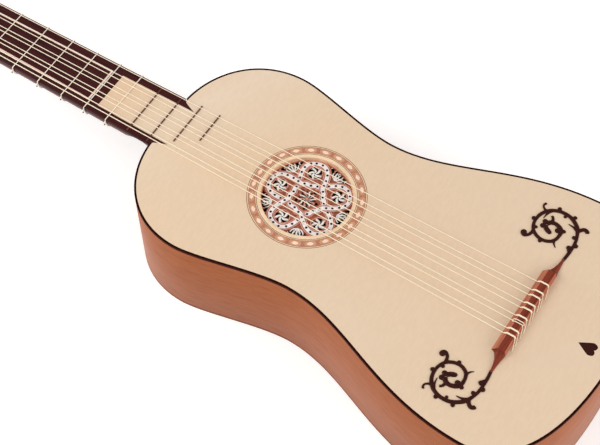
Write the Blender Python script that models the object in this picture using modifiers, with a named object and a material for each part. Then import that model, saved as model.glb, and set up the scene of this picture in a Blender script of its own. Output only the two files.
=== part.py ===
"""Five-course baroque guitar with nine gut strings, built piece by piece.

Frame: +X to the treble side, +Y from the bridge to the head, +Z up out of the soundboard.
The origin lies under the bridge line, on the outer face of the back, so the guitar rests at Z = 0.
"""
import math

import bmesh
import bpy
from mathutils import Matrix, Vector

MM = 0.001

# Clearance between glued or seated pieces, and the free string length.
GAP = 0.3 * MM
STRING_LENGTH = 660 * MM

# Body outline, right half: neck corner, widest upper bout, waist, widest lower bout, tail.
# The neck meets the body a little past a fret, and the upper bout keeps its distance from there.
BODY_DEPTH = 98.5 * MM
JOINT_FRET = 10
JOINT_PAST_FRET = 3.42 * MM
NECK_CORNER_HALF = 30 * MM
UPPER_BOUT_DROP = 79.5 * MM
UPPER_BOUT_HALF = 106.1 * MM
WAIST_Y = 180.2 * MM
WAIST_HALF = 87.3 * MM
LOWER_BOUT_Y = -14 * MM
LOWER_BOUT_HALF = 133.3 * MM
TAIL_Y = -86.5 * MM
SHOULDER_HANDLES = (40 * MM, 47 * MM)
SHOULDER_DROP = 3.2 * MM
UPPER_HANDLES = (25.3 * MM, 30.9 * MM)
LOWER_HANDLES = (61.7 * MM, 87 * MM)
TAIL_HANDLES = (48 * MM, 80 * MM)
OUTLINE_STEPS = (9, 6, 8, 9)

# Body shell.
SOUNDBOARD_THICK = 2.7 * MM
BACK_THICK = 3.0 * MM
RIB_THICK = 1.8 * MM
BINDING_WIDTH = 2.0 * MM
LINING_WIDTH = 4.5 * MM
LINING_HEIGHT = 6.0 * MM
NECK_BLOCK_HALF = 38 * MM
NECK_BLOCK_LENGTH = 34 * MM
TAIL_BLOCK_HALF = 30 * MM
TAIL_BLOCK_LENGTH = 16 * MM
BAR_WIDTH = 6.0 * MM
SOUNDBOARD_BAR_HEIGHT = 14 * MM
BACK_BAR_HEIGHT = 10 * MM
BAR_TIP_HEIGHT = 4 * MM
BAR_TIP_LENGTH = 25 * MM
BAR_OFFSET_FROM_ROSE = 64 * MM
BACK_BAR_FROM_BLOCK = 33 * MM
BACK_BAR_MIDDLE_Y = 150 * MM
BACK_BAR_LOWER_Y = 0.0

# Rose, its inlaid ring and the heart.
ROSE_Y = 216.4 * MM
ROSE_HOLE_RADIUS = 41 * MM
ROSETTE_RADIUS = 53.5 * MM
ROSETTE_THICK = 1.0 * MM
ROSE_SINK = 5.0 * MM
ROSE_THICK = 1.0 * MM
ROSE_RIM_WIDTH = 3.0 * MM
ROSE_LOBES = 5
RIBBON_MEAN_RADIUS = 23.6 * MM
RIBBON_SWING = 12.4 * MM
RIBBON_SWING_DOUBLE = 3.6 * MM
RIBBON_SWING_TRIPLE = 0.3 * MM
RIBBON_SWING_QUADRUPLE = 1.1 * MM
RIBBON_HALF = 2.0 * MM
RIBBON_RISE = 0.6 * MM
RIBBON_START = math.radians(-91)
RIBBON_END = math.radians(26)
RIBBON_STEPS = 12
ROSE_FIRST_LOBE = math.radians(90)
LOOP_HOLE_R = 28.2 * MM
LOOP_HOLE_RADIUS = 5.0 * MM
RIM_HOLE_R = (39.0 * MM, 34.2 * MM)
RIM_HOLE_SPAN = math.radians(30)
RIM_HOLE_TAPER = 0.22
STAR_HOLE_R = 11.0 * MM
STAR_HOLE_RADIUS = 1.8 * MM
ROUND_STEPS = 42
HEART_TIP_Y = -53 * MM
HEART_LENGTH = 17 * MM
HEART_HALF = 6.4 * MM
HEART_MIDDLE = 0.58
HEART_STEPS = 28
INLAY_THICK = 1.0 * MM

# Neck, fingerboard and frets.
NECK_HALF_JOINT = 29.5 * MM
NECK_HALF_NUT = 25.3 * MM
NECK_DEPTH_JOINT = 20 * MM
NECK_DEPTH_NUT = 16.5 * MM
NECK_ARC_STEPS = 10
NECK_ARC_FULLNESS = 0.9
HEEL_LENGTH = 28 * MM
HEEL_TOE_HEIGHT = 1.5 * MM
HEEL_SLIMMER = 1.6
HEEL_SHARPER = 1.1
# Sections of the heel: share of its length out from the body, of its depth and of its slimness.
HEEL_STATIONS = (
    (0.75, 0.06, 0.35), (0.55, 0.17, 0.7), (0.42, 0.34, 0.9), (0.34, 0.6, 1.0), (0.3, 0.86, 1.0),
    (0.26, 1.0, 1.0), (0.0, 1.0, 1.0),
)
TONGUE_LENGTH = 64.5 * MM
TONGUE_HALF_END = 19.9 * MM
POINT_LENGTH = 15 * MM
POINT_HALF = 21.0 * MM
POINT_START_INSET = 1.6 * MM
POINT_INNER_HALF = 24.6 * MM
POINT_INNER_DROP = 4.2 * MM
LINES_FROM_TONGUE = 11.5 * MM
LINES_END_MARGIN = 9 * MM
LINES_EDGE = 9.9 * MM
LINES_WIDTH = 1.9 * MM
TIED_FRETS = 8
TIED_FRET_RADIUS = 0.45 * MM
WOODEN_FRET_WIDTH = 1.3 * MM
WOODEN_FRET_HEIGHT = 0.8 * MM
WOODEN_FRET_PROFILE = ((-0.5, 0.0), (-0.5, 0.45), (-0.3, 0.85), (0.0, 1.0),
                       (0.3, 0.85), (0.5, 0.45), (0.5, 0.0))
WOODEN_FRET_BASS_REACH = (28.2 * MM, 28.4 * MM, 15.5 * MM, 2.2 * MM)
WOODEN_FRET_TREBLE_REACH = (28.2 * MM, 28.4 * MM, 30.4 * MM, 30.6 * MM)
NUT_WIDTH = 5.0 * MM
NUT_RISE = 2.5 * MM

# Bridge and scrolls.
BRIDGE_HEIGHT = 7.5 * MM
BRIDGE_HOLE_HEIGHT = 5.0 * MM
BRIDGE_HOLE_RADIUS = 1.1 * MM
BRIDGE_BLOCK_HALF = 41 * MM
BRIDGE_FRONT_FOOT_Y = 5.2 * MM
BRIDGE_FRONT_TOP_Y = -0.2 * MM
BRIDGE_REAR_TOP_Y = -7.0 * MM
BRIDGE_REAR_FOOT_Y = -8.0 * MM
# Sections of the bridge's tail, in millimetres: distance out, then the places along the guitar of the
# front foot, front top, rear top and rear foot, and the height.
BRIDGE_TAIL = (
    (44.8, 3.0, -0.3, -7.0, -8.0, 7.4),
    (46.0, 2.2, -0.4, -6.8, -7.9, 4.4),
    (51.0, -0.4, -1.6, -6.4, -7.4, 2.9),
    (56.0, -2.1, -2.8, -6.0, -7.0, 2.1),
    (61.0, -3.2, -3.7, -5.7, -6.5, 1.6),
    (64.0, -3.9, -4.3, -5.5, -6.0, 1.3),
)
SCROLL_THICK = 1.2 * MM
BRANCH_INSET = 0.1 * MM
# Centre lines of the treble scroll in millimetres (across, along) with half-widths.
SCROLL_VINE = (
    (64.6, -4.8, 1.0), (71, -5.6, 1.4), (78, -5.8, 1.7), (86, -5.6, 1.7), (93, -3.4, 1.8), (99, 1.0, 2.0),
    (103.4, 7.0, 2.1), (105.6, 14, 2.0), (105.2, 21, 2.0), (102, 27.6, 2.0), (96.6, 32.2, 1.8),
    (90, 34.8, 1.6), (83, 34.6, 1.5), (76.8, 31.6, 1.6), (72.8, 26.2, 1.7), (71.6, 19.6, 1.6),
    (73.6, 13.4, 1.6), (78.4, 9.8, 1.5), (84.2, 9.2, 1.7), (89.6, 10.8, 2.4), (92.2, 16, 2.2),
    (90.8, 22.4, 2.6), (86.4, 25.6, 2.8), (82.4, 22.8, 2.1), (80.8, 18.6, 1.4),
)
SCROLL_BRANCHES = (
    ((79, 32.6, 1.4), (72.4, 31.8, 1.5), (68.2, 34.2, 1.4), (67.6, 38.0, 1.9), (70.6, 38.6, 1.6)),
    ((99.6, 30.2, 1.4), (101.4, 34.4, 0.9), (105, 36.0, 0.8), (108, 34.0, 0.9)),
    ((95.6, -1.4, 1.6), (99.6, -4.0, 1.5), (101.6, -7.4, 1.5), (99.6, -10.4, 1.2)),
    ((95.8, -1.0, 1.4), (98.0, 3.8, 0.8), (98.2, 9.2, 0.5)),
    ((101.6, 27.0, 1.2), (96.2, 29.2, 0.8), (91.6, 29.4, 0.4)),
    ((76.6, 10.4, 1.2), (72.4, 9.2, 0.8), (69.8, 6.8, 0.4)),
)

# Strings: single first string, then four pairs, at the bridge and at the nut.
STRING_FIRST_X = (30.2 * MM, 23.0 * MM)
PAIR_START_X = (17.8 * MM, 12.9 * MM)
PAIR_PITCH = (14.35 * MM, 11.3 * MM)
PAIR_SPACING = (5.6 * MM, 3.8 * MM)
STRING_RADIUS = (0.36 * MM, 0.38 * MM, 0.38 * MM, 0.40 * MM, 0.40 * MM,
                 0.42 * MM, 0.42 * MM, 0.44 * MM, 0.44 * MM)
NUT_STRING_RISE = 1.85 * MM
# Loop that ties a string over the bridge: reach and rise of its end, rounding at the corners, slant.
TIE_END_REACH = 3.4 * MM
TIE_END_RISE = 0.8 * MM
TIE_CORNER = 1.2 * MM
TIE_SLANT = 0.1 * MM
TIE_EXIT = 2.2 * MM

# Head and pegs.
HEAD_TILT = math.radians(7)
HEAD_THICK = 12 * MM
HEAD_FACE_THICK = 1.5 * MM
HEAD_LENGTH = 194 * MM
HEAD_HALF_START = 25.0 * MM
HEAD_HALF_SHOULDER = 36.0 * MM
HEAD_SHOULDER_S = 22 * MM
HEAD_HALF_END = 41.0 * MM
HEAD_CREST = 8 * MM
HEAD_FROM_NUT = 1.0 * MM
HEAD_SHOULDER_BEND = 0.7
HEAD_SIDE_BOW = 1.5 * MM
HEAD_SIDE_HANDLES = (0.3, 0.2)
HEAD_CREST_HANDLES = (0.4, 0.35)
PEG_FIRST_S = 34 * MM
PEG_SPACING = 33 * MM
PEG_ROW_X = (27.5 * MM, 31.5 * MM)
BASS_PEGS = 5
PEG_TIP_HEIGHT = 12.5 * MM
PEG_TIP_RADIUS = 3.3 * MM
PEG_COLLAR_RADIUS = 6.2 * MM
PEG_SHAFT_GROWTH = 0.035
PEG_COLLAR_DROP = 2.5 * MM
PEG_COLLAR_EDGE = 0.5 * MM
PEG_COLLAR_LENGTH = 3.5 * MM
PEG_STEM_RADIUS = 3.4 * MM
PEG_STEM_LENGTH = 6 * MM
PEG_ROOT_LENGTH = 9 * MM
PEG_THUMB_HALF = (11.5 * MM, 3.6 * MM, 10.5 * MM)
PEG_BORE_SPARE = 8 * MM
PEG_STEPS = 10
WIND_TURNS = 2.0
WIND_POINTS = 10
WIND_PITCH = 1.5 * MM
WIND_TOP = 8.2 * MM



def fret_y(number):
    """Distance of a fret from the bridge line."""
    return STRING_LENGTH * 2 ** (-number / 12)


# Places that follow from the sizes above.
BODY_JOINT_Y = fret_y(JOINT_FRET) - JOINT_PAST_FRET
UPPER_BOUT_Y = BODY_JOINT_Y - UPPER_BOUT_DROP
POINT_Y = BODY_JOINT_Y - POINT_LENGTH
TONGUE_END_Y = BODY_JOINT_Y + TONGUE_LENGTH
LINES_START_Y = TONGUE_END_Y + LINES_FROM_TONGUE
HEEL_START_Y = BODY_JOINT_Y + HEEL_LENGTH
TOP_Z = BODY_DEPTH
UNDER_TOP_Z = TOP_Z - SOUNDBOARD_THICK - GAP
RIB_LOW_Z = BACK_THICK + GAP
NUT_END_Y = STRING_LENGTH + NUT_WIDTH
HEAD_Y = NUT_END_Y + HEAD_FROM_NUT + GAP
HEAD_Z = UNDER_TOP_Z

for old in list(bpy.data.objects):
    bpy.data.objects.remove(old, do_unlink=True)

parts = bpy.data.collections.new("baroque_guitar")
cutters = bpy.data.collections.new("cutters")
bpy.context.scene.collection.children.link(parts)
bpy.context.scene.collection.children.link(cutters)


def make_material(name, colour, roughness, metallic=0.0):
    """A plain Principled material."""
    material = bpy.data.materials.new(name)
    material.use_nodes = True
    shader = material.node_tree.nodes["Principled BSDF"]
    shader.inputs["Base Color"].default_value = (*colour, 1.0)
    shader.inputs["Roughness"].default_value = roughness
    shader.inputs["Metallic"].default_value = metallic
    material.diffuse_color = (*colour, 1.0)
    return material


SPRUCE = make_material("spruce", (0.78, 0.62, 0.44), 0.45)
RIB_WOOD = make_material("rib_wood", (0.44, 0.17, 0.09), 0.35)
DARK_WOOD = make_material("dark_wood", (0.045, 0.015, 0.014), 0.35)
BRIDGE_WOOD = make_material("bridge_wood", (0.22, 0.055, 0.035), 0.4)
BONE = make_material("bone", (0.85, 0.78, 0.62), 0.35)
GUT = make_material("gut", (0.92, 0.84, 0.62), 0.35)
PARCHMENT = make_material("parchment", (0.62, 0.40, 0.36), 0.7)
PALE_INLAY = make_material("pale_inlay", (0.80, 0.62, 0.42), 0.4)


def put(obj, name, material, hidden=False):
    """Name a new object, give it its material and file it with the parts or the cutters."""
    obj.name = name
    obj.data.name = name
    for collection in list(obj.users_collection):
        collection.objects.unlink(obj)
    (cutters if hidden else parts).objects.link(obj)
    if material:
        obj.data.materials.clear()
        obj.data.materials.append(material)
    if hidden:
        obj.hide_render = True
        obj.display_type = "WIRE"
    return obj


def mesh_piece(name, mesh_data, material, hidden=False):
    """Turn a bmesh into a named object with outward faces."""
    bmesh.ops.remove_doubles(mesh_data, verts=mesh_data.verts, dist=0.002 * MM)
    bmesh.ops.recalc_face_normals(mesh_data, faces=mesh_data.faces)
    mesh = bpy.data.meshes.new(name)
    mesh_data.to_mesh(mesh)
    mesh_data.free()
    return put(bpy.data.objects.new(name, mesh), name, material, hidden)


def flat_piece(name, loops, low, high, material, hidden=False):
    """Plate cut to the first loop, with the other loops as holes, between two heights."""
    curve = bpy.data.curves.new(name, "CURVE")
    curve.dimensions = "2D"
    curve.fill_mode = "BOTH"
    curve.extrude = (high - low) / 2
    for loop in loops:
        spline = curve.splines.new("POLY")
        spline.points.add(len(loop) - 1)
        for point, (x, y) in zip(spline.points, loop):
            point.co = (x, y, 0, 1)
        spline.use_cyclic_u = True
    drawn = bpy.data.objects.new(name, curve)
    cutters.objects.link(drawn)
    depsgraph = bpy.context.evaluated_depsgraph_get()
    mesh = bpy.data.meshes.new_from_object(drawn.evaluated_get(depsgraph))
    bpy.data.objects.remove(drawn)
    solid = bmesh.new()
    solid.from_mesh(mesh)
    bmesh.ops.translate(solid, verts=solid.verts, vec=(0, 0, (low + high) / 2))
    return mesh_piece(name, solid, material, hidden)


def loft_piece(name, rings, material, hidden=False):
    """Closed body through rings of equally many points."""
    solid = bmesh.new()
    rows = [[solid.verts.new(point) for point in ring] for ring in rings]
    for first, second in zip(rows, rows[1:]):
        for i in range(len(first)):
            j = (i + 1) % len(first)
            solid.faces.new((first[i], first[j], second[j], second[i]))
    solid.faces.new(rows[0])
    solid.faces.new(rows[-1])
    return mesh_piece(name, solid, material, hidden)


def tube_piece(name, points, radius, material, closed=False):
    """Round wire along a polyline, six sides."""
    curve = bpy.data.curves.new(name, "CURVE")
    curve.dimensions = "3D"
    curve.bevel_depth = radius
    curve.bevel_resolution = 1
    curve.use_fill_caps = True
    spline = curve.splines.new("POLY")
    spline.points.add(len(points) - 1)
    for point, place in zip(spline.points, points):
        point.co = (*place, 1)
    spline.use_cyclic_u = closed
    return put(bpy.data.objects.new(name, curve), name, material)


def combine(target, other, operation):
    """Live Boolean on the target; the other object is kept among the cutters."""
    modifier = target.modifiers.new(other.name, "BOOLEAN")
    modifier.operation = operation
    modifier.solver = "EXACT"
    modifier.object = other


def circle(radius, steps, centre=(0.0, 0.0), start=0.0):
    """Points of a circle, anticlockwise."""
    return [(centre[0] + radius * math.cos(start + math.tau * i / steps),
             centre[1] + radius * math.sin(start + math.tau * i / steps)) for i in range(steps)]


def bezier(start, handle_1, handle_2, end, steps):
    """Points along a cubic curve, without its last point."""
    points = []
    for i in range(steps):
        t = i / steps
        s = 1 - t
        points.append(Vector(start) * s ** 3 + Vector(handle_1) * 3 * s * s * t
                      + Vector(handle_2) * 3 * s * t * t + Vector(end) * t ** 3)
    return points


def smooth_line(points, steps):
    """Catmull-Rom line through points that carry a half-width as third value."""
    rows = [Vector(point) for point in points]
    padded = [2 * rows[0] - rows[1]] + rows + [2 * rows[-1] - rows[-2]]
    line = []
    for a, b, c, d in zip(padded, padded[1:], padded[2:], padded[3:]):
        for i in range(steps):
            t = i / steps
            line.append(0.5 * (2 * b + (c - a) * t + (2 * a - 5 * b + 4 * c - d) * t * t
                               + (3 * b - a - 3 * c + d) * t ** 3))
    return line + [rows[-1]]


def strip_loop(points, steps, mirror=1):
    """Closed outline of a strip of changing width along a smooth centre line, in millimetres."""
    line = smooth_line(points, steps)
    left, right = [], []
    for i, point in enumerate(line):
        along = (line[min(i + 1, len(line) - 1)] - line[max(i - 1, 0)]).to_2d().normalized()
        across = Vector((-along.y, along.x)) * point.z
        left.append((point.to_2d() + across) * MM)
        right.append((point.to_2d() - across) * MM)
    return [(mirror * p.x, p.y) for p in left + right[::-1]]


def half_outline(inset):
    """Right half of the body from the neck corner to the tail, moved inwards by an inset."""
    corner = Vector((NECK_CORNER_HALF, BODY_JOINT_Y))
    upper = Vector((UPPER_BOUT_HALF, UPPER_BOUT_Y))
    waist = Vector((WAIST_HALF, WAIST_Y))
    lower = Vector((LOWER_BOUT_HALF, LOWER_BOUT_Y))
    tail = Vector((0.0, TAIL_Y))
    line = bezier(corner, corner + Vector((SHOULDER_HANDLES[0], -SHOULDER_DROP)),
                  upper + Vector((0, SHOULDER_HANDLES[1])), upper, OUTLINE_STEPS[0])
    line += bezier(upper, upper - Vector((0, UPPER_HANDLES[0])),
                   waist + Vector((0, UPPER_HANDLES[1])), waist, OUTLINE_STEPS[1])
    line += bezier(waist, waist - Vector((0, LOWER_HANDLES[0])),
                   lower + Vector((0, LOWER_HANDLES[1])), lower, OUTLINE_STEPS[2])
    line += bezier(lower, lower - Vector((0, TAIL_HANDLES[0])),
                   tail + Vector((TAIL_HANDLES[1], 0)), tail, OUTLINE_STEPS[3])
    line.append(tail)
    moved = []
    for i, point in enumerate(line):
        before = line[max(i - 1, 0)]
        after = line[i + 1] if i + 1 < len(line) else Vector((-line[i - 1].x, line[i - 1].y))
        along = (after - before).normalized()
        moved.append(point + Vector((along.y, -along.x)) * inset)
    moved[-1].x = 0.0
    return moved


def mirrored(line):
    """Left half of a right half-outline, in the opposite order."""
    return [Vector((-p.x, p.y)) for p in reversed(line) if p.x > GAP]


def body_loop(inset):
    """Whole outline, anticlockwise from the left neck corner round the tail."""
    half = half_outline(inset)
    return [tuple(p) for p in mirrored(half)[::-1] + half[::-1]]


def width_at(y, inset):
    """Half-width of the body at a place along it."""
    half = half_outline(inset)
    for a, b in zip(half, half[1:]):
        if b.y <= y <= a.y:
            return a.x + (b.x - a.x) * (a.y - y) / (a.y - b.y)
    return NECK_CORNER_HALF


def shoulder_y(x, inset):
    """Place along the body where its shoulder has a given half-width."""
    half = half_outline(inset)
    for a, b in zip(half, half[1:]):
        if a.x <= x <= b.x:
            return a.y + (b.y - a.y) * (x - a.x) / (b.x - a.x)
    return BODY_JOINT_Y - inset


def band_loop(outer, inner, keep):
    """Outline of a band between two insets, for the points that pass a test."""
    outside = [p for p in half_outline(outer) if keep(p)]
    inside = [p for p in half_outline(inner) if keep(p)]
    return outside + inside[::-1]


# Back, sides and their inner pieces.
PLATE_INSET = BINDING_WIDTH + GAP
INNER_INSET = RIB_THICK + GAP
LINING_INSET = INNER_INSET + LINING_WIDTH


def whole_band(outer, inner):
    """Outline of a band round the body, open at the neck."""
    outside = half_outline(outer)
    inside = half_outline(inner)
    return (outside + mirrored(outside)) + (inside + mirrored(inside))[::-1]


flat_piece("back", [body_loop(PLATE_INSET)], 0, BACK_THICK, RIB_WOOD)
flat_piece("binding_back", [whole_band(0, BINDING_WIDTH)], 0, BACK_THICK, DARK_WOOD)
flat_piece("binding_top", [whole_band(0, BINDING_WIDTH)], TOP_Z - SOUNDBOARD_THICK, TOP_Z, DARK_WOOD)

for side, name in ((1, "treble"), (-1, "bass")):
    rib = [(side * max(p.x, GAP / 2), p.y) for p in band_loop(0, RIB_THICK, lambda p: True)]
    flat_piece("rib_" + name, [rib], RIB_LOW_Z, UNDER_TOP_Z, RIB_WOOD)

block_front_y = BODY_JOINT_Y - NECK_BLOCK_LENGTH
tail_front_y = TAIL_Y + INNER_INSET + TAIL_BLOCK_LENGTH


def along_lining(point):
    """Whether a point of the inner line lies between the two blocks."""
    clear_of_neck = point.y < block_front_y - GAP or point.x > NECK_BLOCK_HALF + GAP
    clear_of_tail = point.y > tail_front_y + GAP or point.x > TAIL_BLOCK_HALF + LINING_WIDTH
    return clear_of_neck and clear_of_tail


for side, name in ((1, "treble"), (-1, "bass")):
    lining = [(side * p.x, p.y) for p in band_loop(INNER_INSET, LINING_INSET, along_lining)]
    lining_z = UNDER_TOP_Z - GAP - LINING_HEIGHT
    flat_piece("lining_top_" + name, [lining], lining_z, lining_z + LINING_HEIGHT, SPRUCE)
    flat_piece("lining_back_" + name, [lining], RIB_LOW_Z, RIB_LOW_Z + LINING_HEIGHT, SPRUCE)

block_inset = INNER_INSET + GAP / 2
shoulder = [p for p in half_outline(block_inset) if NECK_CORNER_HALF < p.x < NECK_BLOCK_HALF]
block = [(NECK_CORNER_HALF - GAP, BODY_JOINT_Y), (NECK_CORNER_HALF - GAP, BODY_JOINT_Y - INNER_INSET - GAP)]
block += [tuple(p) for p in shoulder]
block += [(NECK_BLOCK_HALF, shoulder_y(NECK_BLOCK_HALF, block_inset)), (NECK_BLOCK_HALF, block_front_y)]
flat_piece("neck_block", [block + [(-x, y) for x, y in reversed(block)]], RIB_LOW_Z, UNDER_TOP_Z, SPRUCE)

tail_half = [tuple(p) for p in half_outline(INNER_INSET) if p.x < TAIL_BLOCK_HALF and p.y < 0]
tail_loop = [(TAIL_BLOCK_HALF, tail_front_y)] + tail_half[:-1]
flat_piece("tail_block", [tail_loop + [tail_half[-1]] + [(-x, y) for x, y in reversed(tail_loop)]],
           RIB_LOW_Z, UNDER_TOP_Z, SPRUCE)


def bar_piece(name, y, height, top):
    """Cross bar with lowered tips, glued under the soundboard or on the back."""
    reach = min(width_at(y + step, LINING_INSET) for step in (-BAR_WIDTH / 2, BAR_WIDTH / 2)) - 2 * GAP
    base = UNDER_TOP_Z - GAP if top else RIB_LOW_Z
    away = -1 if top else 1
    profile = [(-reach, 0), (-reach, BAR_TIP_HEIGHT), (-reach + BAR_TIP_LENGTH, height),
               (reach - BAR_TIP_LENGTH, height), (reach, BAR_TIP_HEIGHT), (reach, 0)]
    rings = [[(x, y + end * BAR_WIDTH / 2, base + away * z) for x, z in profile] for end in (-1, 1)]
    loft_piece(name, rings, SPRUCE)


bar_piece("soundboard_bar_upper", ROSE_Y + BAR_OFFSET_FROM_ROSE, SOUNDBOARD_BAR_HEIGHT, True)
bar_piece("soundboard_bar_lower", ROSE_Y - BAR_OFFSET_FROM_ROSE, SOUNDBOARD_BAR_HEIGHT, True)
back_bar_places = (block_front_y - BACK_BAR_FROM_BLOCK, BACK_BAR_MIDDLE_Y, BACK_BAR_LOWER_Y)
for name, y in zip(("upper", "middle", "lower"), back_bar_places):
    bar_piece("back_bar_" + name, y, BACK_BAR_HEIGHT, False)


# Soundboard with its tongue, and the fingerboard whose two points lie beside it.
def neck_half(y):
    """Half-width of the fingerboard at a place along the strings."""
    share = (y - BODY_JOINT_Y) / (STRING_LENGTH - BODY_JOINT_Y)
    return NECK_HALF_JOINT + (NECK_HALF_NUT - NECK_HALF_JOINT) * share


def point_edge(clear):
    """Outer curve of a fingerboard point, from the body's corner to the tip, moved out by a clearance."""
    start = Vector((neck_half(BODY_JOINT_Y) - POINT_START_INSET, BODY_JOINT_Y))
    bend = Vector((POINT_INNER_HALF, BODY_JOINT_Y - POINT_INNER_DROP))
    end = Vector((POINT_HALF + GAP, POINT_Y))
    line = bezier(start, start.lerp(bend, 0.7), bend.lerp(end, 0.3), end, 5) + [end]
    moved = []
    for i, point in enumerate(line):
        along = (line[min(i + 1, len(line) - 1)] - line[max(i - 1, 0)]).normalized()
        moved.append(point + Vector((-along.y, along.x)) * clear)
    return moved


def without_doubles(points):
    """The points, less those that lie on an earlier one."""
    kept = []
    for point in points:
        if all((point - other).length > 0.05 * MM for other in kept):
            kept.append(point)
    return kept


plate_half = half_outline(PLATE_INSET)
soundboard_half = [Vector((TONGUE_HALF_END, TONGUE_END_Y)), Vector((POINT_HALF, POINT_Y - GAP))]
soundboard_half += point_edge(GAP)[::-1]
soundboard_half += [p for p in plate_half if p.x > soundboard_half[-1].x + GAP][:-1]
soundboard_half += [p for p in plate_half if p.x <= soundboard_half[-1].x and p.y < soundboard_half[-1].y]
soundboard_half = without_doubles(soundboard_half)
rose_centre = (0.0, ROSE_Y)
soundboard = flat_piece(
    "soundboard",
    [[tuple(p) for p in soundboard_half] + [tuple(p) for p in mirrored(soundboard_half)],
     circle(ROSE_HOLE_RADIUS, ROUND_STEPS, rose_centre)],
    TOP_Z - SOUNDBOARD_THICK, TOP_Z, SPRUCE)
rabbet = flat_piece("cut_rosette", [circle(ROSETTE_RADIUS + GAP, ROUND_STEPS, rose_centre)],
                    TOP_Z - ROSETTE_THICK - GAP, TOP_Z + ROSETTE_THICK, None, True)
combine(soundboard, rabbet, "DIFFERENCE")
flat_piece("rosette", [circle(ROSETTE_RADIUS, ROUND_STEPS, rose_centre),
                       circle(ROSE_HOLE_RADIUS, ROUND_STEPS, rose_centre)],
           TOP_Z - ROSETTE_THICK, TOP_Z, PALE_INLAY)


def heart_loop(grow):
    """Heart with its tip towards the bridge, grown by a margin."""
    points = []
    for i in range(HEART_STEPS):
        t = math.tau * (i + 0.5) / HEART_STEPS
        x = math.sin(t) ** 3
        y = (13 * math.cos(t) - 5 * math.cos(2 * t) - 2 * math.cos(3 * t) - math.cos(4 * t)) / 28.5
        points.append((x * (HEART_HALF + grow),
                       HEART_TIP_Y - HEART_LENGTH * HEART_MIDDLE - y * (HEART_LENGTH + 2 * grow)))
    return points


inlay_low = TOP_Z - INLAY_THICK
heart_cut = flat_piece("cut_heart", [heart_loop(GAP)], inlay_low - GAP, TOP_Z + GAP, None, True)
combine(soundboard, heart_cut, "DIFFERENCE")
flat_piece("heart_inlay", [heart_loop(0)], inlay_low, TOP_Z, DARK_WOOD)

board_start_y = TONGUE_END_Y + GAP
board_end_y = STRING_LENGTH - GAP
board_joint_y = BODY_JOINT_Y + GAP
board_half = [Vector((neck_half(board_end_y), board_end_y)),
              Vector((neck_half(board_joint_y), board_joint_y))]
board_half += point_edge(0) + [Vector((TONGUE_HALF_END + GAP, board_start_y))]
fingerboard = flat_piece("fingerboard",
                         [[tuple(p) for p in board_half] + [tuple(p) for p in mirrored(board_half)]],
                         TOP_Z - SOUNDBOARD_THICK, TOP_Z, DARK_WOOD)


def frame_loops(grow):
    """Outer and inner loop of the pale frame inlaid in the fingerboard."""
    loops = []
    for shift in (LINES_WIDTH / 2 + grow, -LINES_WIDTH / 2 - grow):
        low = LINES_START_Y - shift
        high = STRING_LENGTH - LINES_END_MARGIN + shift
        low_half = neck_half(low) - LINES_EDGE + shift
        high_half = neck_half(high) - LINES_EDGE + shift
        loops.append([(low_half, low), (high_half, high), (-high_half, high), (-low_half, low)])
    return loops


groove = flat_piece("cut_lines", frame_loops(GAP), inlay_low - GAP, TOP_Z + GAP, None, True)
combine(fingerboard, groove, "DIFFERENCE")
flat_piece("fingerboard_lines", frame_loops(0), inlay_low, TOP_Z, PALE_INLAY)


# Sunk parchment rose: a pierced disc with a raised closed ribbon of five loops, in a rim.
def rose_radius(angle):
    """Distance of the ribbon's centre line from the rose's centre; it swings five times in two turns."""
    swing = angle * ROSE_LOBES / 2
    return (RIBBON_MEAN_RADIUS + RIBBON_SWING * math.cos(swing) + RIBBON_SWING_DOUBLE * math.cos(2 * swing)
            - RIBBON_SWING_TRIPLE * math.cos(3 * swing) - RIBBON_SWING_QUADRUPLE * math.cos(4 * swing))


def rose_point(radius, angle):
    """Place on the rose, with angles measured from its first lobe."""
    angle += ROSE_FIRST_LOBE
    return (radius * math.cos(angle), ROSE_Y + radius * math.sin(angle))


rose_low = TOP_Z - ROSE_SINK - ROSE_THICK
rose_loops = [circle(ROSE_HOLE_RADIUS + ROSE_RIM_WIDTH, ROUND_STEPS, rose_centre)]
for k in range(ROSE_LOBES):
    lobe = math.tau * k / ROSE_LOBES
    between = lobe + math.pi / ROSE_LOBES
    rose_loops.append(circle(LOOP_HOLE_RADIUS, 12, rose_point(LOOP_HOLE_R, lobe)))
    rose_loops.append(circle(STAR_HOLE_RADIUS, 6, rose_point(STAR_HOLE_R, between)))
    rim_hole = [rose_point(RIM_HOLE_R[0], between + RIM_HOLE_SPAN * (i / 4 - 0.5)) for i in range(5)]
    rim_hole += [rose_point(RIM_HOLE_R[1], between + RIM_HOLE_SPAN * RIM_HOLE_TAPER),
                 rose_point(RIM_HOLE_R[1], between - RIM_HOLE_SPAN * RIM_HOLE_TAPER)]
    rose_loops.append(rim_hole)
rose = flat_piece("rose", rose_loops, rose_low, rose_low + ROSE_THICK, PARCHMENT)
rim_loops = [circle(ROSE_HOLE_RADIUS + ROSE_RIM_WIDTH - GAP, ROUND_STEPS, rose_centre),
             circle(ROSE_HOLE_RADIUS, ROUND_STEPS, rose_centre)]
rose_rim = flat_piece("join_rose_rim", rim_loops, rose_low + ROSE_THICK / 2, UNDER_TOP_Z, None, True)
combine(rose, rose_rim, "UNION")
# Each leg of the ribbon lies over its neighbour at one crossing and stops short of the next one.
for k in range(ROSE_LOBES):
    lobe = math.tau * k / ROSE_LOBES
    line = []
    for i in range(RIBBON_STEPS + 1):
        angle = RIBBON_START + (RIBBON_END - RIBBON_START) * i / RIBBON_STEPS
        x, y = rose_point(rose_radius(angle), angle + lobe)
        line.append((x / MM, y / MM, RIBBON_HALF / MM))
    leg = flat_piece("join_ribbon_%d" % (k + 1), [strip_loop(line, 1)],
                     rose_low + ROSE_THICK / 2, rose_low + ROSE_THICK + RIBBON_RISE, None, True)
    combine(rose, leg, "UNION")


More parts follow.
